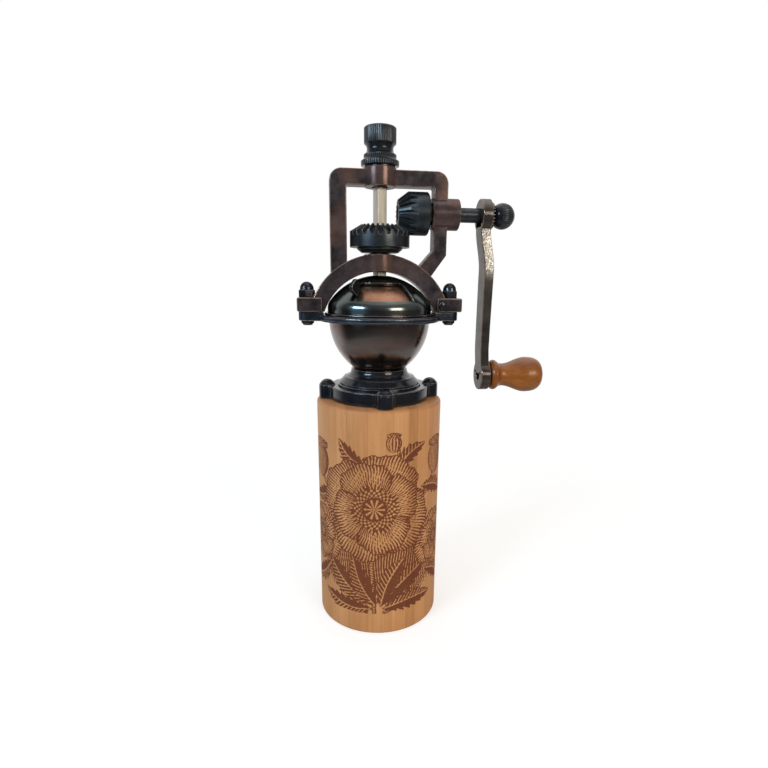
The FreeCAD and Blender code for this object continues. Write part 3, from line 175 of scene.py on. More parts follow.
def partOf(tree, place, letter):
    return addNode(tree, "ShaderNodeSeparateXYZ", {"Vector": place}).outputs[letter]


# shape helpers

axisFrames = {  # along each axis: two directions across it, then the axis itself
    "z": ((1, 0, 0), (0, 1, 0), (0, 0, 1)),
    "x": ((0, 1, 0), (0, 0, 1), (1, 0, 0)),
    "-y": ((1, 0, 0), (0, 0, 1), (0, -1, 0)),
}


def rounded(corners, steps=5):
    # a closed line through (a, b) or (a, b, radius) corners, each rounded by an arc of its radius;
    # the third column is 1 at the middle of an outward rounding and 0 elsewhere
    line = []
    for index, corner in enumerate(corners):
        here = np.array(corner[:2], float)
        before = np.array(corners[index - 1][:2], float)
        after = np.array(corners[(index + 1) % len(corners)][:2], float)
        radius = corner[2] if len(corner) > 2 else 0
        back, onward = before - here, after - here
        reach = (np.linalg.norm(back), np.linalg.norm(onward))
        opening = 0
        if radius and min(reach) > 1e-9:
            back, onward = back / reach[0], onward / reach[1]
            opening = math.acos(float(np.clip(back @ onward, -1, 1)))
        if not 0 < opening <= math.pi - 0.02:
            line.append((*here, 0.0))
            continue
        cut = min(radius / math.tan(opening / 2), 0.49 * min(reach))
        radius = cut * math.tan(opening / 2)
        middle = back + onward
        centre = here + middle / np.linalg.norm(middle) * radius / math.sin(opening / 2)
        start, end = here + back * cut - centre, here + onward * cut - centre
        outward = float(-back[0] * onward[1] + back[1] * onward[0] > 0)
        first = math.atan2(start[1], start[0])
        sweep = (math.atan2(end[1], end[0]) - first + math.pi) % fullTurn - math.pi
        for share in np.linspace(0, 1, steps + 1):
            angle = first + sweep * share
            point = centre + radius * np.array([math.cos(angle), math.sin(angle)])
            line.append((*point, outward * math.sin(math.pi * share)))
    return np.array(line)


def arc(centre, radius, first, last, steps):
    # points on a circle between two angles in degrees
    angles = np.radians(np.linspace(first, last, steps + 1))
    return [(centre[0] + radius * math.cos(a), centre[1] + radius * math.sin(a)) for a in angles]


def gridQuads(rows, columns, closeRows, closeColumns, keep=None):
    # four-cornered faces over a grid of points; keep is a mask of the faces that stay
    row, column = np.meshgrid(np.arange(rows if closeRows else rows - 1),
                              np.arange(columns if closeColumns else columns - 1), indexing="ij")
    down, right = (row + 1) % rows, (column + 1) % columns
    quads = np.stack([row * columns + column, row * columns + right,
                      down * columns + right, down * columns + column], -1)
    return (quads.reshape(-1, 4) if keep is None else quads[keep]).tolist()


def inSpace(across, side, along, axis, origin):
    # puts arrays measured on an axis's own three directions into the object's frame
    first, second, third = (np.array(v, float) for v in axisFrames[axis])
    points = across[..., None] * first + side[..., None] * second + along[..., None] * third
    return points + np.array(origin, float)


def turned(profile, columns=96, axis="z", origin=(0, 0, 0), flutes=()):
    # a closed profile of (radius, height, edge) carried round an axis: the point at angle t is
    # (radius cos t, radius sin t, height). Each (count, depth, lowest, highest) of flutes cuts
    # grooves on the outside: the radius loses depth times half of one minus cos(count t)
    angle = np.arange(columns) / columns * fullTurn
    radius, height, edge = (profile[:, k:k + 1] * np.ones(columns) for k in range(3))
    for count, depth, low, high in flutes:
        outside = radius > 0.6 * profile[:, 0].max()
        held = (outside & (height >= low - 1e-6) & (height <= high + 1e-6)).astype(float)
        wave = 0.5 - 0.5 * np.cos(count * angle)
        radius = radius - depth * held * wave
        edge = np.maximum(edge * (1 - held), held * (1 - wave) ** 2)
    points = inSpace(radius * np.cos(angle), radius * np.sin(angle), height, axis, origin)
    return points.reshape(-1, 3), gridQuads(len(profile), columns, True, True), edge.ravel()


def swept(line, angle, closeColumns, keep=None):
    # an open line of (radius, height above the deck) carried through the given angles
    radius, height = line[:, :1] * np.ones(len(angle)), line[:, 1:] * np.ones(len(angle)) + deck
    points = np.stack([radius * np.cos(angle), radius * np.sin(angle), height], -1).reshape(-1, 3)
    return points, gridQuads(len(line), len(angle), False, closeColumns, keep), np.zeros(len(points))


def plate(outline, low, high, soft=0.8, axis="-y", origin=(0, 0, 0)):
    # a flat outline of (a, b) points drawn out along an axis, its rims rounded by soft: row k is
    # the outline moved inwards by soft(1 - sin k) at the height low + soft(1 - cos k), and the
    # same at the top
    points = np.array(outline, float)[:, :2]
    normals = []
    for step in (points - np.roll(points, 1, 0), np.roll(points, -1, 0) - points):
        unit = step / np.maximum(np.linalg.norm(step, axis=1, keepdims=True), 1e-9)
        normals.append(np.stack([unit[:, 1], -unit[:, 0]], 1))
    middle = normals[0] + normals[1]
    lengths = np.maximum(np.linalg.norm(middle, axis=1, keepdims=True), 0.9)
    mitre = 2 * middle / lengths ** 2
    quarter = np.linspace(0, math.pi / 2, 5)
    inset, lift, edge = soft * (1 - np.sin(quarter)), soft * (1 - np.cos(quarter)), np.sin(2 * quarter)
    inset, edge = np.concatenate([inset, inset[::-1]]), np.concatenate([edge, edge[::-1]])
    level = np.concatenate([low + lift, high - lift[::-1]])
    flat = points[None] - mitre[None] * inset[:, None, None]
    rows, count = len(inset), len(points)
    across = inSpace(flat[..., 0], flat[..., 1], level[:, None] * np.ones(count), axis, origin)
    faces = gridQuads(rows, count, False, True)
    for triangle in tessellate_polygon([[Vector((*point, 0)) for point in flat[0]]]):
        a, b, c = (flat[0][i] for i in triangle)
        leftTurn = (b[0] - a[0]) * (c[1] - a[1]) - (b[1] - a[1]) * (c[0] - a[0]) > 0
        up = list(triangle) if leftTurn else list(triangle)[::-1]
        faces.append([index + (rows - 1) * count for index in up])
        faces.append(up[::-1])
    return across.reshape(-1, 3), faces, (edge[:, None] * np.ones(count)).ravel()


def addObject(name, data):
    thing = bpy.data.objects.new(name, data)
    bpy.context.scene.collection.objects.link(thing)
    return thing


def addPiece(name, mesh, material, body, nodes, sharp):
    # shades a mesh and hands it to the frame as one piece
    mesh.shade_smooth()
    mesh.set_sharp_from_angle(angle=math.radians(sharp))
    mesh.materials.append(material)
    piece = addObject(name, mesh)
    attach(piece, body)
    if nodes:
        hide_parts(*nodes)
    return piece


def makePiece(name, shapes, material, body, nodes, sharp=34, values=None):
    # joins (points, faces, edge) shapes into one mesh with closed poles
    points, faces, edges, start = [], [], [], 0
    for shapePoints, shapeFaces, shapeEdge in shapes:
        points.append(shapePoints)
        edges.append(shapeEdge)
        faces += [[index + start for index in face] for face in shapeFaces]
        start += len(shapePoints)
    mesh = bpy.data.meshes.new(name)
    mesh.from_pydata(np.concatenate(points) * millimetre, [], faces)
    for key, array in {"edge": np.concatenate(edges), **(values or {})}.items():
        data = mesh.attributes.new(key, "FLOAT", "POINT").data
        data.foreach_set("value", np.ascontiguousarray(array, dtype=np.float32))
    work = bmesh.new()
    work.from_mesh(mesh)
    bmesh.ops.remove_doubles(work, verts=work.verts, dist=2e-7)
    bmesh.ops.dissolve_degenerate(work, dist=1e-7, edges=work.edges)
    work.to_mesh(mesh)
    work.free()
    return addPiece(name, mesh, material, body, nodes, sharp)


def keepFlats(piece):
    # lets large faces keep their own normal, so that only the roundings between them shade round
    piece.modifiers.new("flats", "WEIGHTED_NORMAL").keep_sharp = True


def thicken(piece, thickness, even):
    # gives an open sheet its wall, inwards
    wall = piece.modifiers.new("wall", "SOLIDIFY")
    wall.thickness = thickness * millimetre
    wall.offset = -1
    wall.use_even_offset = even


def weldedCopy(nodeName, reach):
    # a carried-over solid as an editable mesh, its loose corners merged
    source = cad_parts[nodeName]
    work = bmesh.new()
    work.from_mesh(source.data)
    work.transform(source.matrix_world)
    bmesh.ops.remove_doubles(work, verts=work.verts, dist=reach)
    return work


def meshFrom(work, name):
    mesh = bpy.data.meshes.new(name)
    work.to_mesh(mesh)
    work.free()
    return mesh


# materials

def oiledBeech():
    # European beech glued from planks and oiled: fine straight grain with short dark flecks,
    # planks that differ a little in tone, thin darker glue lines and a burnt-in drawing
    material, tree, shader, place = newMaterial("oiledBeech", Roughness=0.52, IOR=1.5)
    share = scaled(tree, partOf(tree, place, "X"), 1 / (bodyWidth * millimetre), 0.5, clamp=True)
    seams = [-22.4, -17.7, -8.2, -2.0, 3.5, 10.6, 15.2, 21.9, 27.3]
    tones = [0.50, 0.62, 0.42, 0.58, 0.48, 0.66, 0.40, 0.60, 0.46, 0.56]
    middles = [seam / bodyWidth + 0.5 for seam in seams]
    plank = rampOf(tree, share, list(zip([0.0, *middles], tones)), "CONSTANT")
    lines = [(0.0, 0.0)]
    for middle in middles:
        lines += [(middle - 0.004, 0.0), (middle, 0.8), (middle + 0.004, 0.0)]
    glue = rampOf(tree, share, lines)
    grain = noiseOf(tree, place, 1.1, (1, 1, 0.045), 5)
    broad = noiseOf(tree, place, 9.0, (1, 1, 0.16), 2)
    fleck = rampOf(tree, noiseOf(tree, place, 0.55, (1, 1, 0.22), 1), [(0.66, 0.0), (0.74, 0.35)])
    tone = sumOf(tree, (grain, 0.24), (broad, 0.30), (plank, 0.50))
    colour = rampOf(tree, tone, [(0.36, "#a9703e"), (0.50, "#bf834e"), (0.60, "#cb8f59"), (0.72, "#d69c66")])
    colour = mixOf(tree, fleck, colour, "#9c6637")
    colour = mixOf(tree, scaled(tree, glue, 0.45), colour, "#8f5a34")
    # the rounded rims are darker and redder: partly oil soaked into the end grain, partly painted contact
    # shade where the body meets the flange and the floor
    colour = mixOf(tree, scaled(tree, attributeOf(tree, "edge"), 0.40), colour, "#a45a2a")
    grit = noiseOf(tree, place, 0.35, detail=2)
    burn = mathOf(tree, "ADD", attributeOf(tree, "burn"), scaled(tree, grit, 0.5, -0.25))
    burn = rampOf(tree, burn, [(0.26, 0.0), (0.56, 1.0)])
    scorch = rampOf(tree, grit, [(0.35, "#541d01"), (0.65, "#722f07")])
    colour = mixOf(tree, scaled(tree, burn, 0.92), colour, scorch)
    rough = scaled(tree, burn, 0.3, scaled(tree, grain, 0.2, 0.42))
    feed(tree, shader, Base_Color=colour, Roughness=rough)
    bumpOf(tree, shader, scaled(tree, burn, -0.8, grain), 0.05, 0.6)
    return material


def lacqueredGrip():
    # turned beech under orange shellac: faint grain along the grip, a soft waxed sheen on top
    material, tree, shader, place = newMaterial(
        "lacqueredGrip", Roughness=0.42, IOR=1.5,
        **{"Specular IOR Level": 0.35, "Coat Weight": 0.4, "Coat Roughness": 0.2})
    grain = noiseOf(tree, place, 1.2, (0.12, 1, 1), 4)
    broad = noiseOf(tree, place, 9.0, (0.4, 1, 1), 2)
    tone = sumOf(tree, (grain, 0.4), (broad, 0.6))
    feed(tree, shader, Base_Color=rampOf(tree, tone, [(0.34, "#6e3604"), (0.5, "#834607"), (0.66, "#9a570c")]))
    bumpOf(tree, shader, grain, 0.015, 0.5)
    return material


def castMetal(name, dark, light, wearAndSheen, roughness, metallic, pit=0.10, grain=0.5, wear=0.75,
              bloom=0.0, graze="#9c9a98", sheen=0.3):
    # cast and barrel-finished metal under a dark patina: blotchy colour from dark to light, pits
    # of grain millimetres, and worn bare metal on the outer edges where the patina has worn
    # through; bloom is how much of the metal's red shows in broad soft areas, on burnished faces
    # and in a painted copper glow of reflected light that the piece marks, graze and sheen are the
    # colour and strength of its reflection at a flat angle, and bright dots of painted highlight,
    # standing for the sparkle of window light, show where the piece marks a glint above 0
    material, tree, shader, place = newMaterial(
        name, Metallic=metallic, **{"Specular Tint": graze, "Specular IOR Level": sheen})
    blotch = noiseOf(tree, place, 7.0, detail=3)
    fine = noiseOf(tree, place, grain, detail=4, rough=0.7)
    colour = rampOf(tree, sumOf(tree, (fine, 0.15), (blotch, 0.85)), [(0.36, dark), (0.66, light)])
    if bloom:
        # areas come in from 162 mm up and are whole from 192 mm
        broad = noiseOf(tree, place, 21.0, detail=2)
        upper = scaled(tree, partOf(tree, place, "Z"), 1 / 0.03, -0.162 / 0.03, clamp=True)
        area = mathOf(tree, "MULTIPLY", rampOf(tree, broad, [(0.46, 0.0), (0.60, bloom)]), upper)
        # burnished bosses, and the painted copper glow of reflected warm light under the side boss
        burnishAndGlow = mathOf(tree, "MULTIPLY", attributeOf(tree, "burnishAndGlow"),
                         rampOf(tree, broad, [(0.42, 0.25), (0.56, 1.0)]))
        colour = mixOf(tree, mathOf(tree, "MAXIMUM", area, burnishAndGlow), colour, "#85604f")
    scuff = noiseOf(tree, place, 1.6, detail=5, rough=0.75)
    worn = sumOf(tree, (attributeOf(tree, "edge"), 0.42), (scuff, 0.75))
    worn = rampOf(tree, worn, [(0.60, 0.0), (0.76, wear)])
    speck = rampOf(tree, noiseOf(tree, place, 0.9, detail=3, rough=0.7), [(0.70, 0.0), (0.75, 0.6)])
    worn = mathOf(tree, "MAXIMUM", worn, speck)
    colour = mixOf(tree, worn, colour, wearAndSheen)
    # painted highlight: bright dots, where the piece marks a glint, stand for the sparkle of reflected window
    # light
    dots = rampOf(tree, noiseOf(tree, place, 0.6, detail=3, rough=0.7), [(0.48, 0.05), (0.64, 0.62)])
    colour = mixOf(tree, mathOf(tree, "MULTIPLY", attributeOf(tree, "paintedGlint"), dots), colour, "#e2e2de")
    rough = scaled(tree, worn, -0.08, scaled(tree, fine, 0.22, roughness - 0.11))
    feed(tree, shader, Base_Color=colour, Roughness=rough)
    bumpOf(tree, shader, fine, pit, 0.5)
    return material


def satinBlackSteel():
    # blackened turned steel, smooth and oily; the crests of the knurling have lost some black
    material, tree, shader, place = newMaterial(
        "satinBlackSteel", Metallic=0.3, Roughness=0.2, **{"Specular IOR Level": 0.35})
    drift = rampOf(tree, noiseOf(tree, place, 5.0, detail=2), [(0.35, "#1a1c1e"), (0.65, "#242629")])
    crest = scaled(tree, attributeOf(tree, "edge"), 0.18)
    feed(tree, shader, Base_Color=mixOf(tree, crest, drift, "#7d838b"))
    return material


def satinGunmetal():
    # spun bowl, bead-blasted and browned: satin, a warm brown that drifts to grey, and a painted
    # paler reflection of the lit floor in the 9 mm above its foot
    material, tree, shader, place = newMaterial("satinGunmetal", Metallic=1.0)
    bands = noiseOf(tree, place, 8.0, (0.3, 0.3, 1), 3)
    fine = noiseOf(tree, place, 0.5, detail=3)
    colour = rampOf(tree, bands, [(0.34, "#64534e"), (0.5, "#6f605b"), (0.62, "#73706d"), (0.74, "#785f56")])
    # painted reflection: the 9 mm above the foot are lightened as if the lit floor showed in them
    foot = (deck + 15) * millimetre
    wearAndSheen = scaled(tree, partOf(tree, place, "Z"), -1 / 0.009, 1 + foot / 0.009, clamp=True)
    colour = mixOf(tree, scaled(tree, wearAndSheen, 0.75), colour, "#b08f7c")
    feed(tree, shader, Base_Color=colour, Roughness=scaled(tree, fine, 0.10, 0.15))
    bumpOf(tree, shader, fine, 0.02, 0.4)
    return material


def blackNickel():
    # polished black nickel plate: a dark mirror with a green-grey cast
    material, tree, shader, place = newMaterial("blackNickel", Metallic=1.0, **{"Specular Tint": "#8f9392"})
    haze = noiseOf(tree, place, 5.0, detail=3)
    colour = rampOf(tree, haze, [(0.35, "#6a706f"), (0.65, "#767b79")])
    feed(tree, shader, Base_Color=colour, Roughness=scaled(tree, haze, 0.06, 0.15))
    bumpOf(tree, shader, noiseOf(tree, place, 3.5, detail=1), 0.03, 0.25)
    return material


def satinCopper():
    # brushed copper door: brush lines round the dome's axis, and a painted grey-green reflection over its left
    # part
    material, tree, shader, place = newMaterial("satinCopper", Metallic=1.0)
    brush = noiseOf(tree, place, 0.9, (0.4, 0.4, 1), 2)
    colour = rampOf(tree, brush, [(0.35, "#966e58"), (0.65, "#a87b63")])
    # painted reflection: the door's left part is turned grey-green as if it mirrored something dark
    side = scaled(tree, partOf(tree, place, "X"), 1 / 0.05, 0.5, clamp=True)
    colour = mixOf(tree, rampOf(tree, side, [(0.24, 1.0), (0.36, 0.0)], "EASE"), colour, "#616862")
    feed(tree, shader, Base_Color=colour, Roughness=scaled(tree, brush, 0.12, 0.26))
    return material


def brushedSteel(name, lines, dark, light, smooth, spread, scratch=0.0):
    # steel with fine marks along the mill's axis; lines is the size, stretch and detail of their
    # noise, and the roughness is smooth plus spread times that noise
    material, tree, shader, place = newMaterial(name, Metallic=1.0)
    marks = noiseOf(tree, place, *lines)
    colour = rampOf(tree, marks, [(0.35, dark), (0.65, light)])
    feed(tree, shader, Base_Color=colour, Roughness=scaled(tree, marks, spread, smooth))
    if scratch:
        bumpOf(tree, shader, marks, scratch, 0.5)
    return material


beech = oiledBeech()
gripLacquer = lacqueredGrip()
antiqueCopper = castMetal("antiqueCopperIron", "#2f2c2e", "#5c5152", "#c2a088", roughness=0.22, metallic=0.45,
                          pit=0.03, grain=1.1, wear=0.6, bloom=0.32, graze="#4a4848")
bluedIron = castMetal("bluedIron", "#343a42", "#4d555f", "#a9a49e", roughness=0.22, metallic=0.8)
glossEnamel = castMetal("glossBlackEnamel", "#121317", "#1e1f24", "#8f8b86", roughness=0.14, metallic=0.0,
                        pit=0.04, grain=0.9, wear=0.35, graze="#d8dade", sheen=0.55)
blackOxide = castMetal("blackOxideSteel", "#33373a", "#4b5054", "#b3b3ae", roughness=0.31, metallic=0.8,
                       pit=0.02, grain=0.35, wear=0.8)
satinBlack = satinBlackSteel()
armIron = castMetal("pittedArmIron", "#403b38", "#5c5651", "#c79272", roughness=0.14, metallic=0.65,
                    pit=0.06, grain=0.6, wear=0.8, graze="#dcdad8")
hardware = castMetal("darkNickelHardware", "#313237", "#4b4c52", "#a5a099", roughness=0.22, metallic=0.85)
gunmetal = satinGunmetal()
nickel = blackNickel()
copper = satinCopper()
# bright bar, and the oily grey of a worked burr
steel = brushedSteel("drawnSteel", (0.6, (1, 1, 0.03), 3), "#a19c93", "#bbb5ab", 0.26, 0.2)
burrSteel = brushedSteel("groundSteel", (0.5, (1, 1, 0.3), 4), "#6d6b68", "#8c8a86", 0.25, 0.3, 0.03)
print("materials ready")


# wooden body with its engraved front

body = {"radius": bodyWidth / 2, "columns": 290, "rows": 262, "backColumns": 36,
        "bore": 15.1, "chamber": 13.5, "outlet": 22.5}
drawing = {"facing": -96.0, "reach": 80.0, "low": 12.0, "high": 104.0, "depth": 0.06,
           "stroke": 1.3, "pen": 0.45}


def ink(tone, stripe):
    # turns a tone into hatching: dark where the tone exceeds the stripe's wave
    wave = 0.5 + 0.5 * np.cos(stripe * fullTurn)
    return np.clip((tone - wave) / 0.35 + 0.5, 0, 1)


def contour(gap, weight=1.5):
    # a drawn line where the gap to a border, in millimetres, is small
    return np.clip(weight - gap / drawing["pen"], 0, 1)


def tremble(u, v):
    # a hand's unevenness, between -1 and 1, from products of waves about three millimetres long
    return np.sin(1.9 * u + 0.7 * v) * np.sin(2.3 * v - 0.6 * u + 1) + 0.4 * np.sin(4.7 * u - 3.1 * v)


def paintPetal(canvas, u, v, centre, facing, half, size):
    # a petal is a fan from the flower's heart: its rim sinks towards the sides and ruffles, its
    # strokes run outwards, and its base carries a dark blotch
    du, dv = u - centre[0], v - centre[1]
    far = np.hypot(du, dv)
    turn = (np.arctan2(dv, du) - facing + math.pi) % fullTurn - math.pi
    off = turn / half
    rim = size * (1 - 0.20 * off ** 2 - 0.16 * off ** 8 + 0.025 * np.sin(11 * off + facing)
                  + 0.012 * np.sin(29 * off))
    share = far / rim
    fold = np.exp(-((off - 0.25 * np.sin(3 * share + facing)) / 0.10) ** 2)
    tone = 0.12 + 0.60 * np.abs(off) ** 3 + 1.5 * np.exp(-((share - 0.28) / 0.20) ** 2)
    tone = tone + 0.6 * fold * (1 - share) + 2.6 * np.clip(share - 0.78, 0, 1) + 0.26 * tremble(u, v)
    strokes = turn * np.where(share < 0.55, 0.38, 0.76) * size / drawing["stroke"]
    value = ink(tone, strokes + 0.16 * np.sin(share * 19 + off * 5))
    value = np.maximum(value, contour(np.abs(share - 1) * size))
    value = np.maximum(value, contour((1 - np.abs(off)) * half * far))
    return np.where((np.abs(off) < 1) & (share < 1), value, canvas)


def paintBloom(canvas, u, v, centre, size, turn):
    # four petals behind, four before, then a ring of stamens round a ribbed heart
    for share, start in ((1.0, 0.5), (0.80, 0.0)):
        for petal in range(4):
            facing = turn + (petal + start) * math.pi / 2
            canvas = paintPetal(canvas, u, v, centre, facing, 0.93, size * share * (1 + 0.05 * (petal % 2)))
    du, dv = u - centre[0], v - centre[1]
    far, angle = np.hypot(du, dv) / size, np.arctan2(dv, du)
    dots = np.cos(angle * 22 + far * 9) * np.cos(far * size / drawing["stroke"] * 3.4)
    canvas = np.where(far < 0.36, np.clip(0.55 + dots * 1.4, 0, 1), canvas)
    canvas = np.where(far < 0.20, ink(0.30 + 2.2 * far, angle * 10 / fullTurn), canvas)
    return np.maximum(canvas, contour(np.abs(far - 0.20) * size, 1.6))


def paintCapsule(canvas, u, v, centre, width, height):
    # a ribbed seed capsule under its scalloped crown, shaded from left to right
    du, dv = u - centre[0], v - centre[1]
    girth = width * np.sqrt(np.clip(1 - (dv / height) ** 2, 0, 1)) * (1 + 0.10 * dv / height)
    side = du / np.maximum(girth, 0.01)
    ribs = np.arcsin(np.clip(side, -1, 1)) / math.pi * 2.4 * width / drawing["stroke"]
    value = ink(0.42 + 0.40 * side + 0.3 * np.abs(side) ** 3 + 0.12 * tremble(u, v), ribs)
    value = np.maximum(value, contour((1 - np.abs(side)) * girth))
    canvas = np.where((np.abs(dv) < height) & (np.abs(side) < 1), value, canvas)
    lift = (dv - height * 0.98) / (height * 0.30)
    spread = du / (width * 0.92) * (1 - 0.10 * np.cos(du / width * 15))
    crown = lift ** 2 + spread ** 2
    value = ink(0.55 + 0.3 * spread, np.arctan2(lift, spread) * 16 / fullTurn)
    return np.where(crown < 1, np.where(crown > 0.74, 1.0, value), canvas)


def paintStem(canvas, u, v, points, width):
    # a bent stem: the nearest place on a three-point curve decides its side and its shade
    share = np.linspace(0, 1, 60)[:, None]
    first, middle, last = (np.array(point, float) for point in points)
    line = first * (1 - share) ** 2 + middle * 2 * share * (1 - share) + last * share ** 2
    gaps = (u[..., None] - line[:, 0]) ** 2 + (v[..., None] - line[:, 1]) ** 2
    nearest = np.sqrt(gaps.min(-1))
    side = (u - line[gaps.argmin(-1), 0]) / width
    value = np.where(nearest > width * 0.62, 1.0, ink(0.35 + 0.5 * side, v / drawing["stroke"] + u / 2.4))
    return np.where(nearest < width, value, canvas)


def paintLeaf(canvas, u, v, base, tip, width, lobes):
    # a toothed leaf: its half width is a sine along the midrib with a saw on it; it is dark, with
    # a pale midrib and pale slanting veins, and darker on one side
    base, tip = np.array(base, float), np.array(tip, float)
    du, dv, run = u - base[0], v - base[1], tip - base
    length = np.linalg.norm(run)
    along = (du * run[0] + dv * run[1]) / length ** 2
    side = (du * run[1] - dv * run[0]) / length + 2.2 * np.sin(math.pi * along)
    inside = np.clip(along, 0, 1)
    half = width * np.sin(math.pi * inside) ** 0.8 * (0.74 + 0.40 * ((inside * lobes) % 1))
    veins = inside * length / 2.1 - np.abs(side) / 2.6
    value = ink(0.90 + 0.16 * np.sign(side) + 0.14 * tremble(u, v), veins + 0.5)
    value = np.where(np.abs(side) < 0.34, 0.15, value)
    value = np.maximum(value, contour(half - np.abs(side)))
    return np.where((along > 0) & (along < 1) & (np.abs(side) < half), value, canvas)


def engraving(u, v):
    # the whole drawing on the body's unrolled front, u to the right and v up, in millimetres;
    # a shaded ground comes first, then stems, leaves, capsules and blooms, each over the last
    ground = 1.15 - np.hypot((u - 2) / 36, (v - 40) / 24) ** 2 + 0.16 * tremble(u, v)
    canvas = ink(np.clip(ground, 0, 0.72), u / drawing["stroke"] + 0.5 * np.sin(v / 5 + u / 9))
    canvas = np.where(ground > 0.18, canvas, 0)
    for *points, width in (
            ((-2, 12), (-4, 40), (-3, 56), 1.1), ((-6, 12), (-28, 26), (-35, 44), 1.0),
            ((3, 12), (26, 22), (35, 40), 1.0), ((10, 60), (26, 70), (31, 80), 0.9),
            ((-10, 62), (-26, 70), (-32, 78), 0.9), ((0, 70), (12, 90), (9, 97), 0.8)):
        canvas = paintStem(canvas, u, v, points, width)
    for base, tip, width, lobes in (
            ((-27, 34), (-44, 20), 4.6, 6), ((27, 30), (43, 18), 4.6, 6), ((-3, 14), (-31, 18), 5.0, 8),
            ((2, 14), (31, 16), 5.0, 8), ((-3, 17), (-27, 38), 6.4, 8), ((2, 17), (26, 36), 6.4, 8),
            ((-1, 15), (-13, 42), 5.4, 7), ((1, 15), (13, 41), 5.4, 7), ((-22, 76), (-43, 66), 4.4, 6),
            ((22, 76), (43, 68), 4.4, 6), ((-6, 88), (-20, 100), 4.0, 6), ((8, 86), (24, 98), 4.0, 6)):
        canvas = paintLeaf(canvas, u, v, base, tip, width, lobes)
    for centre, width, height in (((-35, 86), 7.4, 8.8), ((34, 88), 7.2, 8.6), ((7, 99), 3.8, 4.2)):
        canvas = paintCapsule(canvas, u, v, centre, width, height)
    for centre, size, turn in (((-35, 48), 15.5, 0.5), ((35, 45), 16.0, 1.1), ((-2, 67), 28.0, 0.35)):
        canvas = paintBloom(canvas, u, v, centre, size, turn)
    return canvas


def makeBody():
    # a turned cylinder; the front columns are close together so that the drawing can be stored
    # point by point, and the surface dips by depth where it is burnt
    facing, reach = math.radians(drawing["facing"]), math.radians(drawing["reach"])
    columns, wide = body["columns"], body["radius"]
    front = facing + np.linspace(-reach, reach, columns)
    back = np.linspace(facing + reach, facing - reach + fullTurn, body["backColumns"] + 2)[1:-1]
    angle = np.concatenate([front, back])
    wall = [(wide, z) for z in np.linspace(drawing["low"] - 1, drawing["high"] + 1, body["rows"])]
    profile = rounded([
        (body["outlet"], 0, 0.3), (wide, 0, 0.8), *wall, (wide, deck, 1.5), (body["bore"], deck),
        (body["bore"], 108.5), (body["chamber"], 108.5), (body["chamber"], 29), (16.4, 29), (16.4, 13),
        (21, 13), (21, 5), (body["outlet"], 5)])
    radius, height, edge = (profile[:, k:k + 1] * np.ones(len(angle)) for k in range(3))
    unrolled = (angle - facing) * wide
    burn = np.zeros_like(radius)
    outer = (radius > wide - 0.01) & (np.abs(height - 58) < 47)
    rows = np.where(outer.any(1))[0]
    block = engraving(unrolled[None, :columns] * np.ones((len(rows), 1)), height[rows][:, :columns])
    fade = np.clip((reach * wide - np.abs(unrolled[:columns])) / 2, 0, 1)
    burn[rows[:, None], np.arange(columns)] = block * fade * outer[rows][:, :columns]
    radius = radius - drawing["depth"] * burn
    points = np.stack([radius * np.cos(angle), radius * np.sin(angle), height], -1).reshape(-1, 3)
    shape = (points, gridQuads(len(profile), len(angle), True, True), edge.ravel())
    makePiece("woodBody", [shape], beech, "mill", ["wood_body"], 40, {"burn": burn.ravel()})


makeBody()
print("wooden body ready")


# base flange; the heights of what stands on the deck are counted from it

flange = {"radius": 24.6, "height": 6.7, "rimSoft": 0.75, "lugs": 4, "lugCircle": 25.7, "lugRadius": 4.1,
          "bossRadius": 4.05, "bossTop": 7.1, "web": 1.5, "webReach": 0.9, "spigot": 15.0, "bore": 10.9}


def makeFlange():
    # the plate's rim is the larger of the disc and each lug's circle, with webs that fade from the
    # lugs as exp(-gap / webReach); coved steps rise from it to the neck
    angle = np.arange(480) / 480 * fullTurn
    nearest = (angle + math.pi / 4) % (math.pi / 2) - math.pi / 4
    aside = flange["lugCircle"] * np.sin(nearest)
    chord = flange["lugRadius"] ** 2 - aside ** 2
    lug = np.where(chord > 0, flange["lugCircle"] * np.cos(nearest) + np.sqrt(np.clip(chord, 0, None)), 0)
    beyond = np.clip(np.abs(aside) - flange["lugRadius"] + 0.1, 0, 9)
    rim = np.maximum(lug, flange["radius"] + flange["web"] * np.exp(-beyond / flange["webReach"]))
    outline = np.stack([rim * np.cos(angle), rim * np.sin(angle)], 1)
    steps = rounded([
        (flange["bore"], -6), (flange["spigot"], -6), (flange["spigot"], 6.2), (20.7, 6.2),
        (20.7, 7.5, 0.35), (19.9, 7.6, 0.2), (19.9, 8.3, 0.3), (17.7, 10.4, 0.4), (17.3, 11.0, 0.3),
        (16.1, 11.3, 0.3), (14.9, 11.9), (14.2, 12.8), (13.85, 13.9), (13.8, 14.8, 0.3), (12.0, 14.8),
        (12.0, 9.7), (flange["bore"], 9.7)])
    shapes = [plate(outline, 0, flange["height"], flange["rimSoft"], "z", onDeck),
              turned(steps, 160, origin=onDeck)]
    wide, top = flange["bossRadius"], flange["bossTop"]
    boss = rounded([(0, 6), (wide, 6), (wide, top, 0.45), (0, top)], 4)
    shapes += [turned(boss, 40, origin=(*spot, deck))
               for spot in arc((0, 0), flange["lugCircle"], 0, 360, flange["lugs"])[:-1]]
    keepFlats(makePiece("baseFlange", shapes, glossEnamel, "mill", ["base_flange"], 30))


makeFlange()
print("flange ready")


# bowl, ring and dome

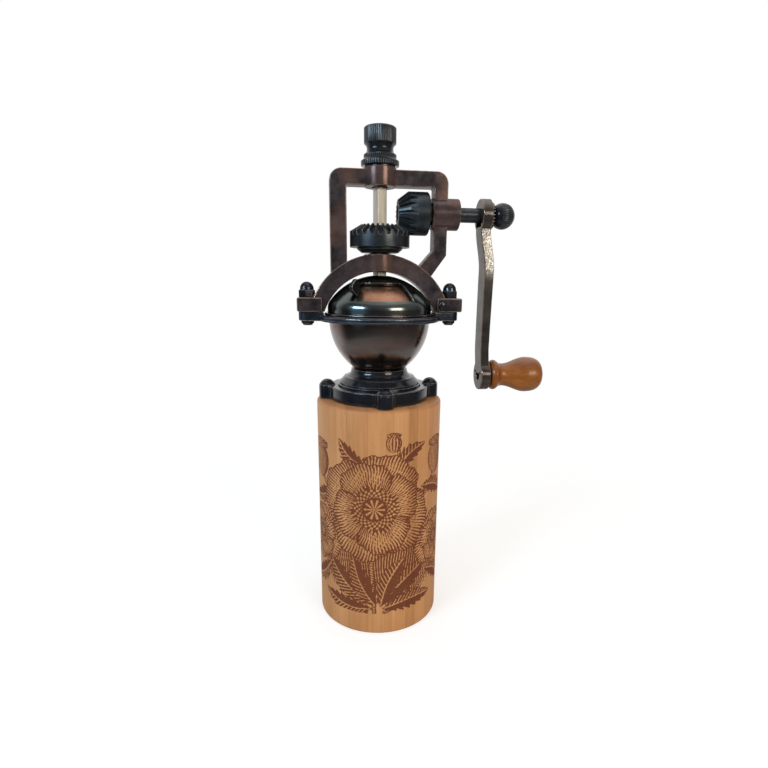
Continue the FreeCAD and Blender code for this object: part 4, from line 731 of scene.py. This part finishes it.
bowl = {"curve": 30.2, "centre": (-5.9, 39.0), "wall": 1.3, "foot": 12.0, "bore": 10.7,
        "lip": 26.3, "lipLow": 40.8, "lipHigh": 41.8}
ring = {"inside": 24.4, "outside": 29.2, "low": 37.9, "high": 40.8, "earTop": 42.3, "earReach": 34.4,
        "earRadius": 4.2}
dome = {"centre": 29.9, "curve": 29.4, "shoulder": 6.0, "radius": 24.9, "wall": 1.3, "hole": 4.0,
        "sill": 47.8, "head": 55.7, "halfWindow": 38.5, "facing": -92.5, "tubeRadius": 5.6}
door = {"gap": 0.35, "wall": 0.8, "low": 46.9, "half": 42.5, "hub": 7.5, "hubRing": 9.0}
tab = {"foot": 27.9, "top": 34.6, "thickness": 1.8, "side": -127.5, "tilt": 41.0}


def makeBowl():
    # the outside is one arc of curve about centre, the inside the same arc less the wall
    outer = arc(bowl["centre"], bowl["curve"], -53.1, 0, 40)
    inner = arc(bowl["centre"], bowl["curve"] - bowl["wall"], 0, -52.4, 40)
    foot, bore, lip, low, high = pick(bowl, "foot bore lip lipLow lipHigh")
    profile = rounded([
        (bore, 9.8), (foot, 9.8), (foot, 14.85), (foot + 0.5, 14.9), *outer[1:], (24.3, low),
        (lip, low, 0.25), (lip, high, 0.4), (23.0, high, 0.3), *inner, (bore, 14.8)])
    makePiece("bowlShell", [turned(profile, 180, origin=onDeck)], gunmetal, "mill", ["bowl"], 40)


def makeRing():
    low, high, inside, outside = pick(ring, "low high inside outside")
    profile = rounded([
        (inside, low), (28.6, low, 0.5), (outside, low + 0.9, 0.4), (outside, high - 0.7, 0.5),
        (28.6, high, 0.4), (27.0, high), (inside, high)])
    shapes = [turned(profile, 180, origin=onDeck)]
    # an ear is a round pad on two straight flanks that spread into the ring
    pad = arc((ring["earReach"], 0), ring["earRadius"], -78, 78, 18)
    ear = np.array([(26.8, -5.4), (29.0, -4.9), (31.0, -4.3), *pad, (31.0, 4.3), (29.0, 4.9), (26.8, 5.4)])
    shapes += [plate(side * ear, low, ring["earTop"], 0.6, "z", onDeck) for side in (-1, 1)]
    keepFlats(makePiece("rimRing", shapes, bluedIron, "mill", ["rim_ring"]))


def makeDome():
    # the outside goes up the straight wall, over a shoulder arc and up a sphere to the top hole;
    # the faces in the window are left out, and Solidify gives the wall
    centre, curve = dome["centre"], dome["curve"]
    reach = dome["radius"] - dome["shoulder"]
    rise = math.sqrt((curve - dome["shoulder"]) ** 2 - reach ** 2)
    tilt = math.degrees(math.atan2(rise, reach))
    sill, head = (math.degrees(math.asin((dome[key] - centre) / curve)) for key in ("sill", "head"))
    top = math.degrees(math.acos(dome["hole"] / curve))
    line = [(dome["radius"], bowl["lipHigh"]), (dome["radius"], 42.6),
            *arc((reach, centre + rise), dome["shoulder"], 0, tilt, 16)]
    for first, last, steps in ((tilt, sill, 3), (sill, head, 20), (head, top, 22)):
        line += arc((0, centre), curve, first, last, steps)[1:]
    line = np.array(line)
    half = math.radians(dome["halfWindow"])
    inside, outside = np.linspace(-half, half, 61), np.linspace(half, fullTurn - half, 163)[1:-1]
    angle = math.radians(dome["facing"]) + np.concatenate([inside, outside])
    rows = (line[:-1, 1] > dome["sill"] - 0.01) & (line[1:, 1] < dome["head"] + 0.01)
    columns = np.arange(len(angle)) < len(inside) - 1
    piece = makePiece("domeShell", [swept(line, angle, True, ~(rows[:, None] & columns[None, :]))],
                      nickel, "mill", ["dome"], 40)
    thicken(piece, dome["wall"], True)
    soft = piece.modifiers.new("soft", "BEVEL")
    soft.width = 0.18 * millimetre
    soft.segments = 2
    soft.limit_method = "ANGLE"
    soft.angle_limit = math.radians(50)
    keepFlats(piece)
    tube = rounded([(dome["hole"], 52.6), (dome["tubeRadius"], 52.6, 0.2), (dome["tubeRadius"], 57.6),
                    (dome["hole"], 57.9)])
    makePiece("pivotTube", [turned(tube, 60, origin=onDeck)], nickel, "mill", [], 40)


def makeDoor():
    # a sphere patch one gap under the dome, from its hub ring down to a level edge
    curve = dome["curve"] - dome["wall"] - door["gap"]
    low = math.degrees(math.asin((door["low"] - dome["centre"]) / curve))
    high = math.degrees(math.acos(door["hub"] / curve))
    angle = math.radians(dome["facing"]) + np.radians(np.linspace(-door["half"], door["half"], 69))
    line = np.array(arc((0, dome["centre"]), curve, low, high, 30))
    patch = makePiece("domeDoor", [swept(line, angle, False)], copper, "door", ["dome_door"], 40)
    thicken(patch, door["wall"], False)
    hub = rounded([(5.65, 55.9), (door["hubRing"], 55.3), (door["hubRing"], 56.0, 0.2), (5.65, 56.8)])
    makePiece("doorHub", [turned(hub, 72, origin=onDeck)], copper, "door", [], 40)


def makeTab():
    # a thumb tab: a rounded blade standing square to the dome on a short stem, drawn along the
    # dome's radius and then turned into place about its centre
    foot, top = tab["foot"], tab["top"]
    blade = rounded([(-1.7, foot), (1.7, foot), (3.3, 31.2, 2.5), (3.0, top, 2.0), (-3.0, top, 2.0),
                     (-3.3, 31.2, 2.5)], 8)
    stem = rounded([(0, 25.9), (1.5, 25.9), (1.5, 26.5), (0.8, 26.5), (0.8, foot + 0.6), (0, foot + 0.6)])
    turn = np.array(Euler((0, 0, math.radians(tab["side"]))).to_matrix()
                    @ Euler((0, math.radians(tab["tilt"]), 0)).to_matrix())
    half = tab["thickness"] / 2
    shapes = [(points @ turn.T + np.array([0, 0, deck + dome["centre"]]), faces, edge)
              for points, faces, edge in (plate(blade, -half, half, 0.35), turned(stem, 20))]
    keepFlats(makePiece("doorTab", shapes, hardware, "door", ["door_tab"]))


makeBowl()
makeRing()
makeDome()
makeDoor()
makeTab()
print("bowl, ring and dome ready")


# bridge casting and its fasteners

bridge = {"archOuter": 34.6, "archInner": 27.95, "archLift": 34.3, "innerLift": 32.9, "archDepth": 9.5,
          "frameDepth": 8.0, "foot": 42.3, "footTop": 48.8, "footDepth": 11.4,
          "feet": ((27.4, 39.6), (-39.1, -27.4)), "bossWear": 0.28, "burnishAndGlow": 0.4, "burnishAndGlowReach": 12.0}
fastener = {"reach": 34.4, "corner": 4.04, "turn": 20.0, "low": 48.8, "high": 52.2, "cap": 3.2, "shank": 2.0,
            "head": 3.0}


def makeBridge():
    # square frame, arch and feet are outlines drawn out to their own depths with rounded rims;
    # the three bosses are turned
    outer, inner, top, bottom = pick(bridge, "archOuter archInner archLift innerLift")
    foot, footTop = pick(bridge, "foot footTop")
    rise = math.asin((foot + 5.2 - top) / outer)
    inside, tilt = math.degrees(math.asin((foot - bottom) / inner)), math.degrees(rise)
    arch = [(outer * math.cos(rise), foot), *arc((0, top), outer, tilt, 180 - tilt, 96),
            (-outer * math.cos(rise), foot), *arc((0, bottom), inner, 180 - inside, inside, 96)]
    frameOutline = rounded([
        (-23.2, 54.9), (-15.5, 59.0), (-15.5, 98.45, 0.7), (24.8, 98.45, 0.7), (24.8, 70.6, 0.8),
        (17.0, 61.7), (22.6, 56.6), (31.3, 68.6, 1.0), (31.3, 105.35, 5.5), (-23.2, 105.35, 5.5)], 10)
    layers = [(frameOutline, bridge["frameDepth"], 0.6), (arch, bridge["archDepth"], 0.55)]
    for left, right in bridge["feet"]:
        block = [(left, foot, 0.8), (right, foot, 0.8), (right, footTop, 0.8), (left, footTop, 0.8)]
        layers.append((rounded(block, 4), bridge["footDepth"], 0.6))
    shapes = [plate(outline, -depth / 2, depth / 2, soft, origin=onDeck) for outline, depth, soft in layers]
    flats = sum(len(points) for points, _, _ in shapes)
    # the bosses are burnished, and the side boss also carries a painted copper glow of reflected warm light
    # that grows towards its underside
    burnishAndGlow = [np.zeros(flats)]
    for axis, origin, bore, radius, low, high in (
            ("z", onDeck, 4.0, 7.4, 98.1, 106.3), ("z", onDeck, 3.45, 7.6, 61.0, 68.6),
            ("x", onCrank, 3.35, 7.1, 24.0, 37.0)):
        profile = rounded([(bore, low), (radius, low, 0.4), (radius, high, 0.5), (bore, high, 0.2)])
        profile[:, 2] = np.maximum(profile[:, 2], bridge["bossWear"])
        shapes.append(turned(profile, 96, axis, origin))
        drop = (shapes[-1][0][:, 2] - crankAxis) * (axis == "x")
        burnishAndGlow.append(np.clip(bridge["burnishAndGlow"] - drop / bridge["burnishAndGlowReach"], 0, 1))
    keepFlats(makePiece("bridgeFrame", shapes, antiqueCopper, "mill", ["bridge_frame"],
                        values={"burnishAndGlow": np.concatenate(burnishAndGlow)}))


def makeFasteners():
    # acorn nuts above and bolt heads below the ears, and a small screw in the right foot's front
    nuts, bolts = [], []
    low, high, cap, shank, head = pick(fastener, "low high cap shank head")
    first = fastener["turn"]
    hexagon = [(*point, 0.25) for point in arc((0, 0), fastener["corner"], first, first + 300, 5)]
    acorn = rounded([(0, low + 2.7), (cap + 0.05, low + 2.7), (cap + 0.1, low + 3.6, 0.2),
                     *arc((0, low + 3.95), cap, 2, 88, 12), (0, low + 3.95 + cap)], 3)
    bolt = rounded([(0, 35.8), (2.2, 35.8, 0.6), (2.5, 36.6, 0.2), (head, 36.7, 0.4), (head, 37.9, 0.3),
                    (shank, 37.9), (shank, 53.4), (0, 53.4)], 4)
    for side in (-1, 1):
        spot = (fastener["reach"] * side, 0, deck)
        nuts += [plate(rounded(hexagon, 3), low, high, 0.3, "z", spot), turned(acorn, 40, origin=spot)]
        bolts.append(turned(bolt, 40, origin=spot))
    keepFlats(makePiece("capNuts", nuts, hardware, "mill", ["cap_nuts"], 30))
    keepFlats(makePiece("clampBolts", bolts, hardware, "mill", ["clamp_bolts"]))
    screw = rounded([(0, 1.7), (1.1, 1.7), (1.1, 5.6), (1.9, 5.6), (1.85, 6.0, 0.2), (1.3, 6.6, 0.4),
                     (0, 6.84)], 4)
    makePiece("footScrew", [turned(screw, 32, "-y", (29.6, 0, deck + 45.55))], hardware, "mill",
              ["foot_screw"], 40)


makeBridge()
makeFasteners()
print("bridge ready")


# adjusting nut, spindle, crank and grip; lengths along the crank are counted from the mill's axis

adjuster = {"seat": 107.0, "bore": 2.56, "pilot": 3.95, "rim": 8.7, "knob": 7.3, "flutes": 50,
            "fluteDepth": 0.13}
spindle = {"turn": 22.8, "half": 2.4, "low": 10.0, "shoulder": 99.4, "high": 119.3, "pitch": 0.8,
           "crest": 2.45, "root": 2.1, "travel": 0.8}
crank = {"inner": 47.5, "thickness": 4.8, "taper": 0.6, "taperOver": 60, "width": 10.6, "bow": 2.6,
         "bowOver": 20, "set": 0.6, "setOver": 13, "eye": 7.6, "gripEye": 7.5, "lean": 0.8, "leanFrom": 171,
         "leanOver": 25, "paintedGlintOver": 7}
ball = {"radius": 6.0, "centre": 58.77, "end": 64.43, "flutes": 42, "fluteDepth": 0.14}
grip = {"start": 56.5, "length": 27.2, "bead": 7.6, "beadRise": 1.2, "neck": 5.7, "neckPlace": 6.7,
        "swell": 8.95, "swellPlace": 18.9, "end": 3.5, "squareness": 2.5, "bore": 2.06}


def easeStep(value):
    # a smooth step, 0 up to 0 and 1 from 1
    value = np.clip(value, 0, 1)
    return value * value * (3 - 2 * value)


def makeAdjuster():
    # a stepped thumb nut, its heights counted from its seat on the frame; its rims and its knob
    # are cut with straight flutes
    bore, pilot, rim, knob = pick(adjuster, "bore pilot rim knob")
    profile = rounded([
        (bore, -4.9), (pilot, -4.9, 0.3), (pilot, 0), (rim, 0, 0.2), (rim, 2.0, 0.2), (7.65, 2.7),
        (7.45, 3.1), (7.45, 4.6, 0.2), (6.3, 5.6, 0.2), (6.05, 6.4), (6.0, 7.0), (6.05, 7.6),
        (6.3, 8.4, 0.2), (knob, 9.3, 0.2), (knob, 15.6, 0.2), (6.8, 16.1, 0.15), (0, 16.1), (0, 14.1),
        (bore, 14.1)], 3)
    flutes = [(adjuster["flutes"], adjuster["fluteDepth"], *span)
              for span in ((0.2, 2.0), (3.1, 4.6), (9.3, 16.1))]
    makePiece("adjustingNut", [turned(profile, 600, origin=(0, 0, deck + adjuster["seat"]), flutes=flutes)],
              satinBlack, "adjuster", ["adjusting_nut"], 40)


def makeSpindle():
    # a square bar with softened corners, round below and threaded above in ridges a pitch apart
    half, turn = spindle["half"], math.radians(spindle["turn"])
    square = rounded([(half * a, half * b, 0.35) for a, b in ((-1, -1), (1, -1), (1, 1), (-1, 1))], 3)[:, :2]
    spin = np.array([[math.cos(turn), -math.sin(turn)], [math.sin(turn), math.cos(turn)]])
    low, high, pitch = pick(spindle, "shoulder high pitch")
    ridges = [(spindle["root" if k % 2 else "crest"], low + k * pitch / 2)
              for k in range(int((high - low) / pitch * 2))]
    shapes = [plate(square @ spin.T, spindle["low"], deck + low, 0.2, "z"),
              turned(rounded([(0, low), *ridges, (0, high)]), 32, origin=onDeck),
              turned(rounded([(0, 6.6), (1.95, 6.6, 0.3), (1.95, 10.2), (0, 10.2)]), 32)]
    keepFlats(makePiece("spindleBar", shapes, steel, "spindle", ["spindle"], 30))


def makeSpring():
    # a welded copy of the coil under the guide
    mesh = meshFrom(weldedCopy("burr_spring", 1e-6), "burrSpring")
    piece = addPiece("burrSpring", mesh, steel, "mill", ["burr_spring"], 50)
    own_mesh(piece)


def makeCrank():
    # the arm's left wall is shifted by bow and then by set with two smooth steps, and the right
    # wall is the same line one thickness further out, a little thinner towards the grip
    upper, lower = crankAxis - crank["eye"] * 0.7, gripAxis + crank["gripEye"] * 0.3
    height = np.linspace(crankAxis - 1, gripAxis + 1, 90)
    shift = crank["bow"] * easeStep((upper - height) / crank["bowOver"])
    shift = shift + crank["set"] * easeStep((lower - height) / crank["setOver"] + 1)
    thin = crank["taper"] * easeStep((upper - height) / crank["taperOver"])
    left = np.stack([crank["inner"] + shift, height], 1)
    right = (left + np.stack([crank["thickness"] - thin, height * 0], 1))[::-1]
    half = crank["width"] / 2
    arm = plate(np.concatenate([left, right]), -half, half, 0.45)
    climb = arm[0][:, 2] - crank["leanFrom"]
    arm[0][:, 1] *= 1 - easeStep(climb / crank["leanOver"]) * crank["lean"] / half
    # the upper front face, which is the plate's last row of points, gets painted highlight: bright dots for
    # the sparkle of reflected window light
    paintedGlint = easeStep(climb / crank["paintedGlintOver"])
    paintedGlint[:-2 * len(left)] = 0
    ends = []
    for wide, bore, seat, origin, move in (
            (crank["eye"], 2.3, 0, onCrank, 0),
            (crank["gripEye"], 1.9, 1.3, onGrip, crank["bow"] + crank["set"])):
        # an eye is a turned pad, with a recess of seat in the grip's
        inner, outer = crank["inner"] + move, crank["inner"] + crank["thickness"] + move
        line = [(bore, inner + seat), (wide, inner, 0.45), (wide, outer, 0.45), (bore, outer)]
        if seat:
            line[1:1] = [(bore + 1, inner + seat), (bore + 1, inner, 0.25)]
        eye = rounded(line)
        ends.append(turned(eye, 96, "x", origin))
    paintedGlint = np.concatenate([paintedGlint, np.zeros(sum(len(points) for points, _, _ in ends))])
    keepFlats(makePiece("crankArm", [arm, *ends], armIron, "crank", ["crank_arm"],
                        values={"paintedGlint": paintedGlint}))


def makeShaft():
    # a round shaft, a square for the arm and a stud for the ball nut, with the nut and its washer
    shaft = rounded([(0, 8.6), (3.3, 8.6, 0.4), (3.3, 47.6), (0, 47.6)], 4)
    squared = rounded([(-2.3, -2.3), (2.3, -2.3), (2.3, 2.3), (-2.3, 2.3)])
    stud = rounded([(0, 52), (2.4, 52), (2.4, 60.7), (0, 60.7)])
    shapes = [turned(shaft, 64, "x", onCrank), turned(stud, 28, "x", onCrank),
              plate(squared, 47.4, 52.4, 0.1, "x", onCrank)]
    keepFlats(makePiece("crankShaft", shapes, blackOxide, "crank", ["crank_shaft"]))
    washer = rounded([(2.6, 52.3), (6.0, 52.3, 0.15), (6.0, 53.7, 0.15), (2.6, 53.7)], 3)
    makePiece("lockWasher", [turned(washer, 240, "x", onCrank, [(24, 0.7, 52.4, 53.6)])], hardware, "crank",
              ["lock_washer"])
    # the ball is one arc about its centre, with a band of straight flutes on its outer half
    radius, centre, end = pick(ball, "radius centre end")
    line = [(4.0, 53.7), (4.0, 54.3, 0.1)]
    line += [(radius * math.sin(k), centre - radius * math.cos(k)) for k in np.linspace(0.74, 2.79, 34)]
    line += [(1.9, end, 0.2), (0, end), (0, 61.3), (2.5, 61.3), (2.5, 53.7)]
    flutes = [(ball["flutes"], ball["fluteDepth"], 57.5, 62.3)]
    makePiece("ballNut", [turned(rounded(line, 3), 504, "x", onCrank, flutes)], satinBlack, "crank",
              ["ball_nut"], 40)


def makeGrip():
    # bead, neck and barrel, counted from the grip's start: the radius rises from neck to swell by a
    # smooth step and falls to the end as the quarter of a squarish ellipse, (cos k, sin k) each to
    # the power 2 / squareness
    length, end, bore = pick(grip, "length end bore")
    neck, neckPlace, swell, place = pick(grip, "neck neckPlace swell swellPlace")
    bead = [(grip["bead"] - grip["beadRise"] * (1 - math.sin(math.pi * k)), 4.2 * k)
            for k in np.linspace(0, 1, 13)]
    rise = [(neck + (swell - neck) * easeStep(k), neckPlace + (place - neckPlace) * k)
            for k in np.linspace(0, 1, 26)]
    power, sink = 2 / grip["squareness"], length - 2.6
    fall = [(end + (swell - end) * math.cos(k) ** power, place + (length - place) * math.sin(k) ** power)
            for k in np.linspace(0.12, math.pi / 2, 28)]
    profile = rounded([*bead, (6.1, 4.6), (5.85, 5.4), *rise, *fall, (3.1, length), (3.1, sink),
                       (bore, sink), (bore, 0)], 4)
    makePiece("gripTurned", [turned(profile, 128, "x", (grip["start"], 0, gripAxis))], gripLacquer, "grip",
              ["grip"], 50)


def softenSolid(nodeName, width, body):
    # a copy of a carried-over solid with welded corners and rounded edges; the faces that round an
    # edge are marked so that wear can show on them
    work = weldedCopy(nodeName, 2e-6)
    bmesh.ops.dissolve_limit(work, angle_limit=math.radians(1), verts=work.verts, edges=work.edges)
    hard = [edge for edge in work.edges if edge.is_manifold and edge.calc_face_angle() > math.radians(28)]
    result = bmesh.ops.bevel(work, geom=hard, offset=width * millimetre, segments=1, profile=0.5,
                             affect="EDGES", clamp_overlap=True)
    layer = work.loops.layers.float.new("edge")
    for face in result["faces"]:
        for loop in face.loops:
            loop[layer] = 1.0
    name = nodeName + "Soft"
    keepFlats(addPiece(name, meshFrom(work, name), blackOxide, body, [nodeName], 50))


makeAdjuster()
makeSpindle()
makeSpring()
makeCrank()
makeShaft()
makeGrip()
softenSolid("crown_gear", 0.26, "gear")
softenSolid("pinion", 0.26, "crank")
print("moving pieces ready")

# the other carried-over solids stay as they are and get a finish
for finish, names in (
        (steel, ("door_clip", "gear_washer", "spindle_end_nut")),
        (hardware, ("thrust_washer", "pinion_spacer", "grip_washer", "grip_axle", "burr_screws")),
        (glossEnamel, ("flange_screws",)), (blackOxide, ("pinion_grub_screw",)),
        (burrSteel, ("ring_burr", "cone_burr", "spindle_guide"))):
    for name in names:
        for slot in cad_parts[name].material_slots:
            slot.material = finish
print("plain pieces dressed")


# floor, world, lamps and camera

room = {"soft": 0.56, "floorFade": (0.16, 0.32), "margin": 0.02, "paper": "#c6c4c0", "glow": 0.55,
        "glass": (-0.79, -0.60, 0.10), "dusk": (0.22, 0.36, 0.52), "tint": (0.96, 0.98, 1.0),
        "front": [(0, 0.22), (0.30, 0.18), (0.42, 0.11), (0.48, 0.06), (0.58, 0.16), (0.84, 0.30),
                  (0.92, 0.9), (1, 0.9)]}
lamps = {  # azimuth in degrees from +X, lift in degrees, distance, size in metres, watts, colour
    "leftWindow": (-144, 22, 0.95, (0.38, 0.18), 4.8, (0.62, 0.81, 1.0)),
    "rightWindow": (-58, 14, 1.20, (0.52, 0.34), 4.8, (1.0, 0.91, 0.76)),
    "overhead": (60, 78, 1.00, (0.90, 0.90), 2.0, (1.0, 0.99, 0.97))}
aim = Vector((0, 0, 0.15))  # what the lamps face
# the camera: millimetres for its lens, metres for its place and degrees for its angles
view = {"sensor": 36, "lens": 23.69, "shift": (-0.01227, 0.02973), "place": (-0.0264, -0.2477, 0.1709),
        "yaw": -7.77, "down": 13.92, "roll": 0.66}
white = (1, 1, 1, 1)


def makeFloor():
    # matt white paper that fades out well beyond the shadow; to the camera it glows a little, so
    # that only the shadow shows
    material = bpy.data.materials.new("whitePaperFloor")
    tree = emptyTree(material)
    paper = addNode(tree, "ShaderNodeBsdfDiffuse", {"Color": room["paper"]}).outputs[0]
    glow = addNode(tree, "ShaderNodeEmission", {"Color": white, "Strength": room["glow"]}).outputs[0]
    lit = addNode(tree, "ShaderNodeAddShader", {0: paper, 1: glow}).outputs[0]
    shown = blendOf(tree, addNode(tree, "ShaderNodeLightPath").outputs["Is Camera Ray"], paper, lit)
    place = addNode(tree, "ShaderNodeTexCoord").outputs["Object"]
    far = addNode(tree, "ShaderNodeVectorMath", {0: place}, operation="LENGTH").outputs["Value"]
    clear = addNode(tree, "ShaderNodeBsdfTransparent").outputs[0]
    surface = blendOf(tree, rangeOf(tree, far, *room["floorFade"]), shown, clear)
    addNode(tree, "ShaderNodeOutputMaterial", {"Surface": surface})
    mesh = bpy.data.meshes.new("floor")
    size = room["floorFade"][1] + room["margin"]
    corners = [(-size, -size, 0), (size, -size, 0), (size, size, 0), (-size, size, 0)]
    mesh.from_pydata(corners, [], [(0, 1, 2, 3)])
    mesh.materials.append(material)
    addObject("floor", mesh)


def makeWorld():
    # even soft light for matt surfaces; the camera and clear things see white all round, and
    # polished metal sees the white backdrop behind it and a room in front, dark at eye level
    world = bpy.data.worlds.new("studio")
    bpy.context.scene.world = world
    tree = emptyTree(world)
    path = addNode(tree, "ShaderNodeLightPath").outputs
    way = addNode(tree, "ShaderNodeTexCoord").outputs["Generated"]
    front = rampOf(tree, scaled(tree, partOf(tree, way, "Z"), 0.5, 0.5), room["front"], "EASE")
    left = rangeOf(tree, partOf(tree, way, "X"), -0.7, 0.3, "LINEAR", 0.4)
    front = mixOf(tree, 1.0, front, left, "MULTIPLY")
    toward = addNode(tree, "ShaderNodeVectorMath", {0: way, 1: room["glass"]}, operation="DOT_PRODUCT")
    glass = rangeOf(tree, toward.outputs["Value"], 0.91, 0.985)
    front = mixOf(tree, glass, front, (*room["dusk"], 1))
    front = mixOf(tree, rangeOf(tree, partOf(tree, way, "Y"), 0.0, 0.55), front, white)
    soft, mirrored, shown = (
        addNode(tree, "ShaderNodeBackground", {"Color": colour, "Strength": strength}).outputs[0]
        for colour, strength in (((*room["tint"], 1), room["soft"]), (front, 1.0), (white, 1.0)))
    light = blendOf(tree, path["Is Glossy Ray"], soft, mirrored)
    seen = mathOf(tree, "MAXIMUM", path["Is Camera Ray"], path["Is Transmission Ray"])
    addNode(tree, "ShaderNodeOutputWorld", {"Surface": blendOf(tree, seen, light, shown)})


def makeLamp(name, turn, lift, far, size, power, colour):
    data = bpy.data.lights.new(name, "AREA")
    data.shape = "RECTANGLE"
    data.size, data.size_y = size
    data.energy = power
    data.color = colour
    turn, lift = math.radians(turn), math.radians(lift)
    away = far * Vector((math.cos(lift) * math.cos(turn), math.cos(lift) * math.sin(turn), math.sin(lift)))
    lamp = addObject(name, data)
    lamp.location = aim + away
    lamp.rotation_euler = (-away).to_track_quat("-Z", "Y").to_euler()


def makeCamera():
    # placed by the real mill's outline: 250 mm in front, 171 mm up, looking 14 degrees down
    data = bpy.data.cameras.new("camera")
    data.sensor_width, data.lens = view["sensor"], view["lens"]
    data.shift_x, data.shift_y = view["shift"]
    data.clip_start = 0.01
    camera = addObject("camera", data)
    camera.location = view["place"]
    yaw, pitch, roll = (math.radians(angle) for angle in (view["yaw"], 90 - view["down"], view["roll"]))
    spin = Euler((0, 0, yaw)).to_matrix() @ Euler((pitch, 0, 0)).to_matrix() @ Euler((0, 0, roll)).to_matrix()
    camera.rotation_euler = spin.to_euler()
    bpy.context.scene.camera = camera


makeFloor()
makeWorld()
for name, values in lamps.items():
    makeLamp(name, *values)
makeCamera()
bpy.context.scene.view_settings.view_transform = "Standard"
print("stage ready")
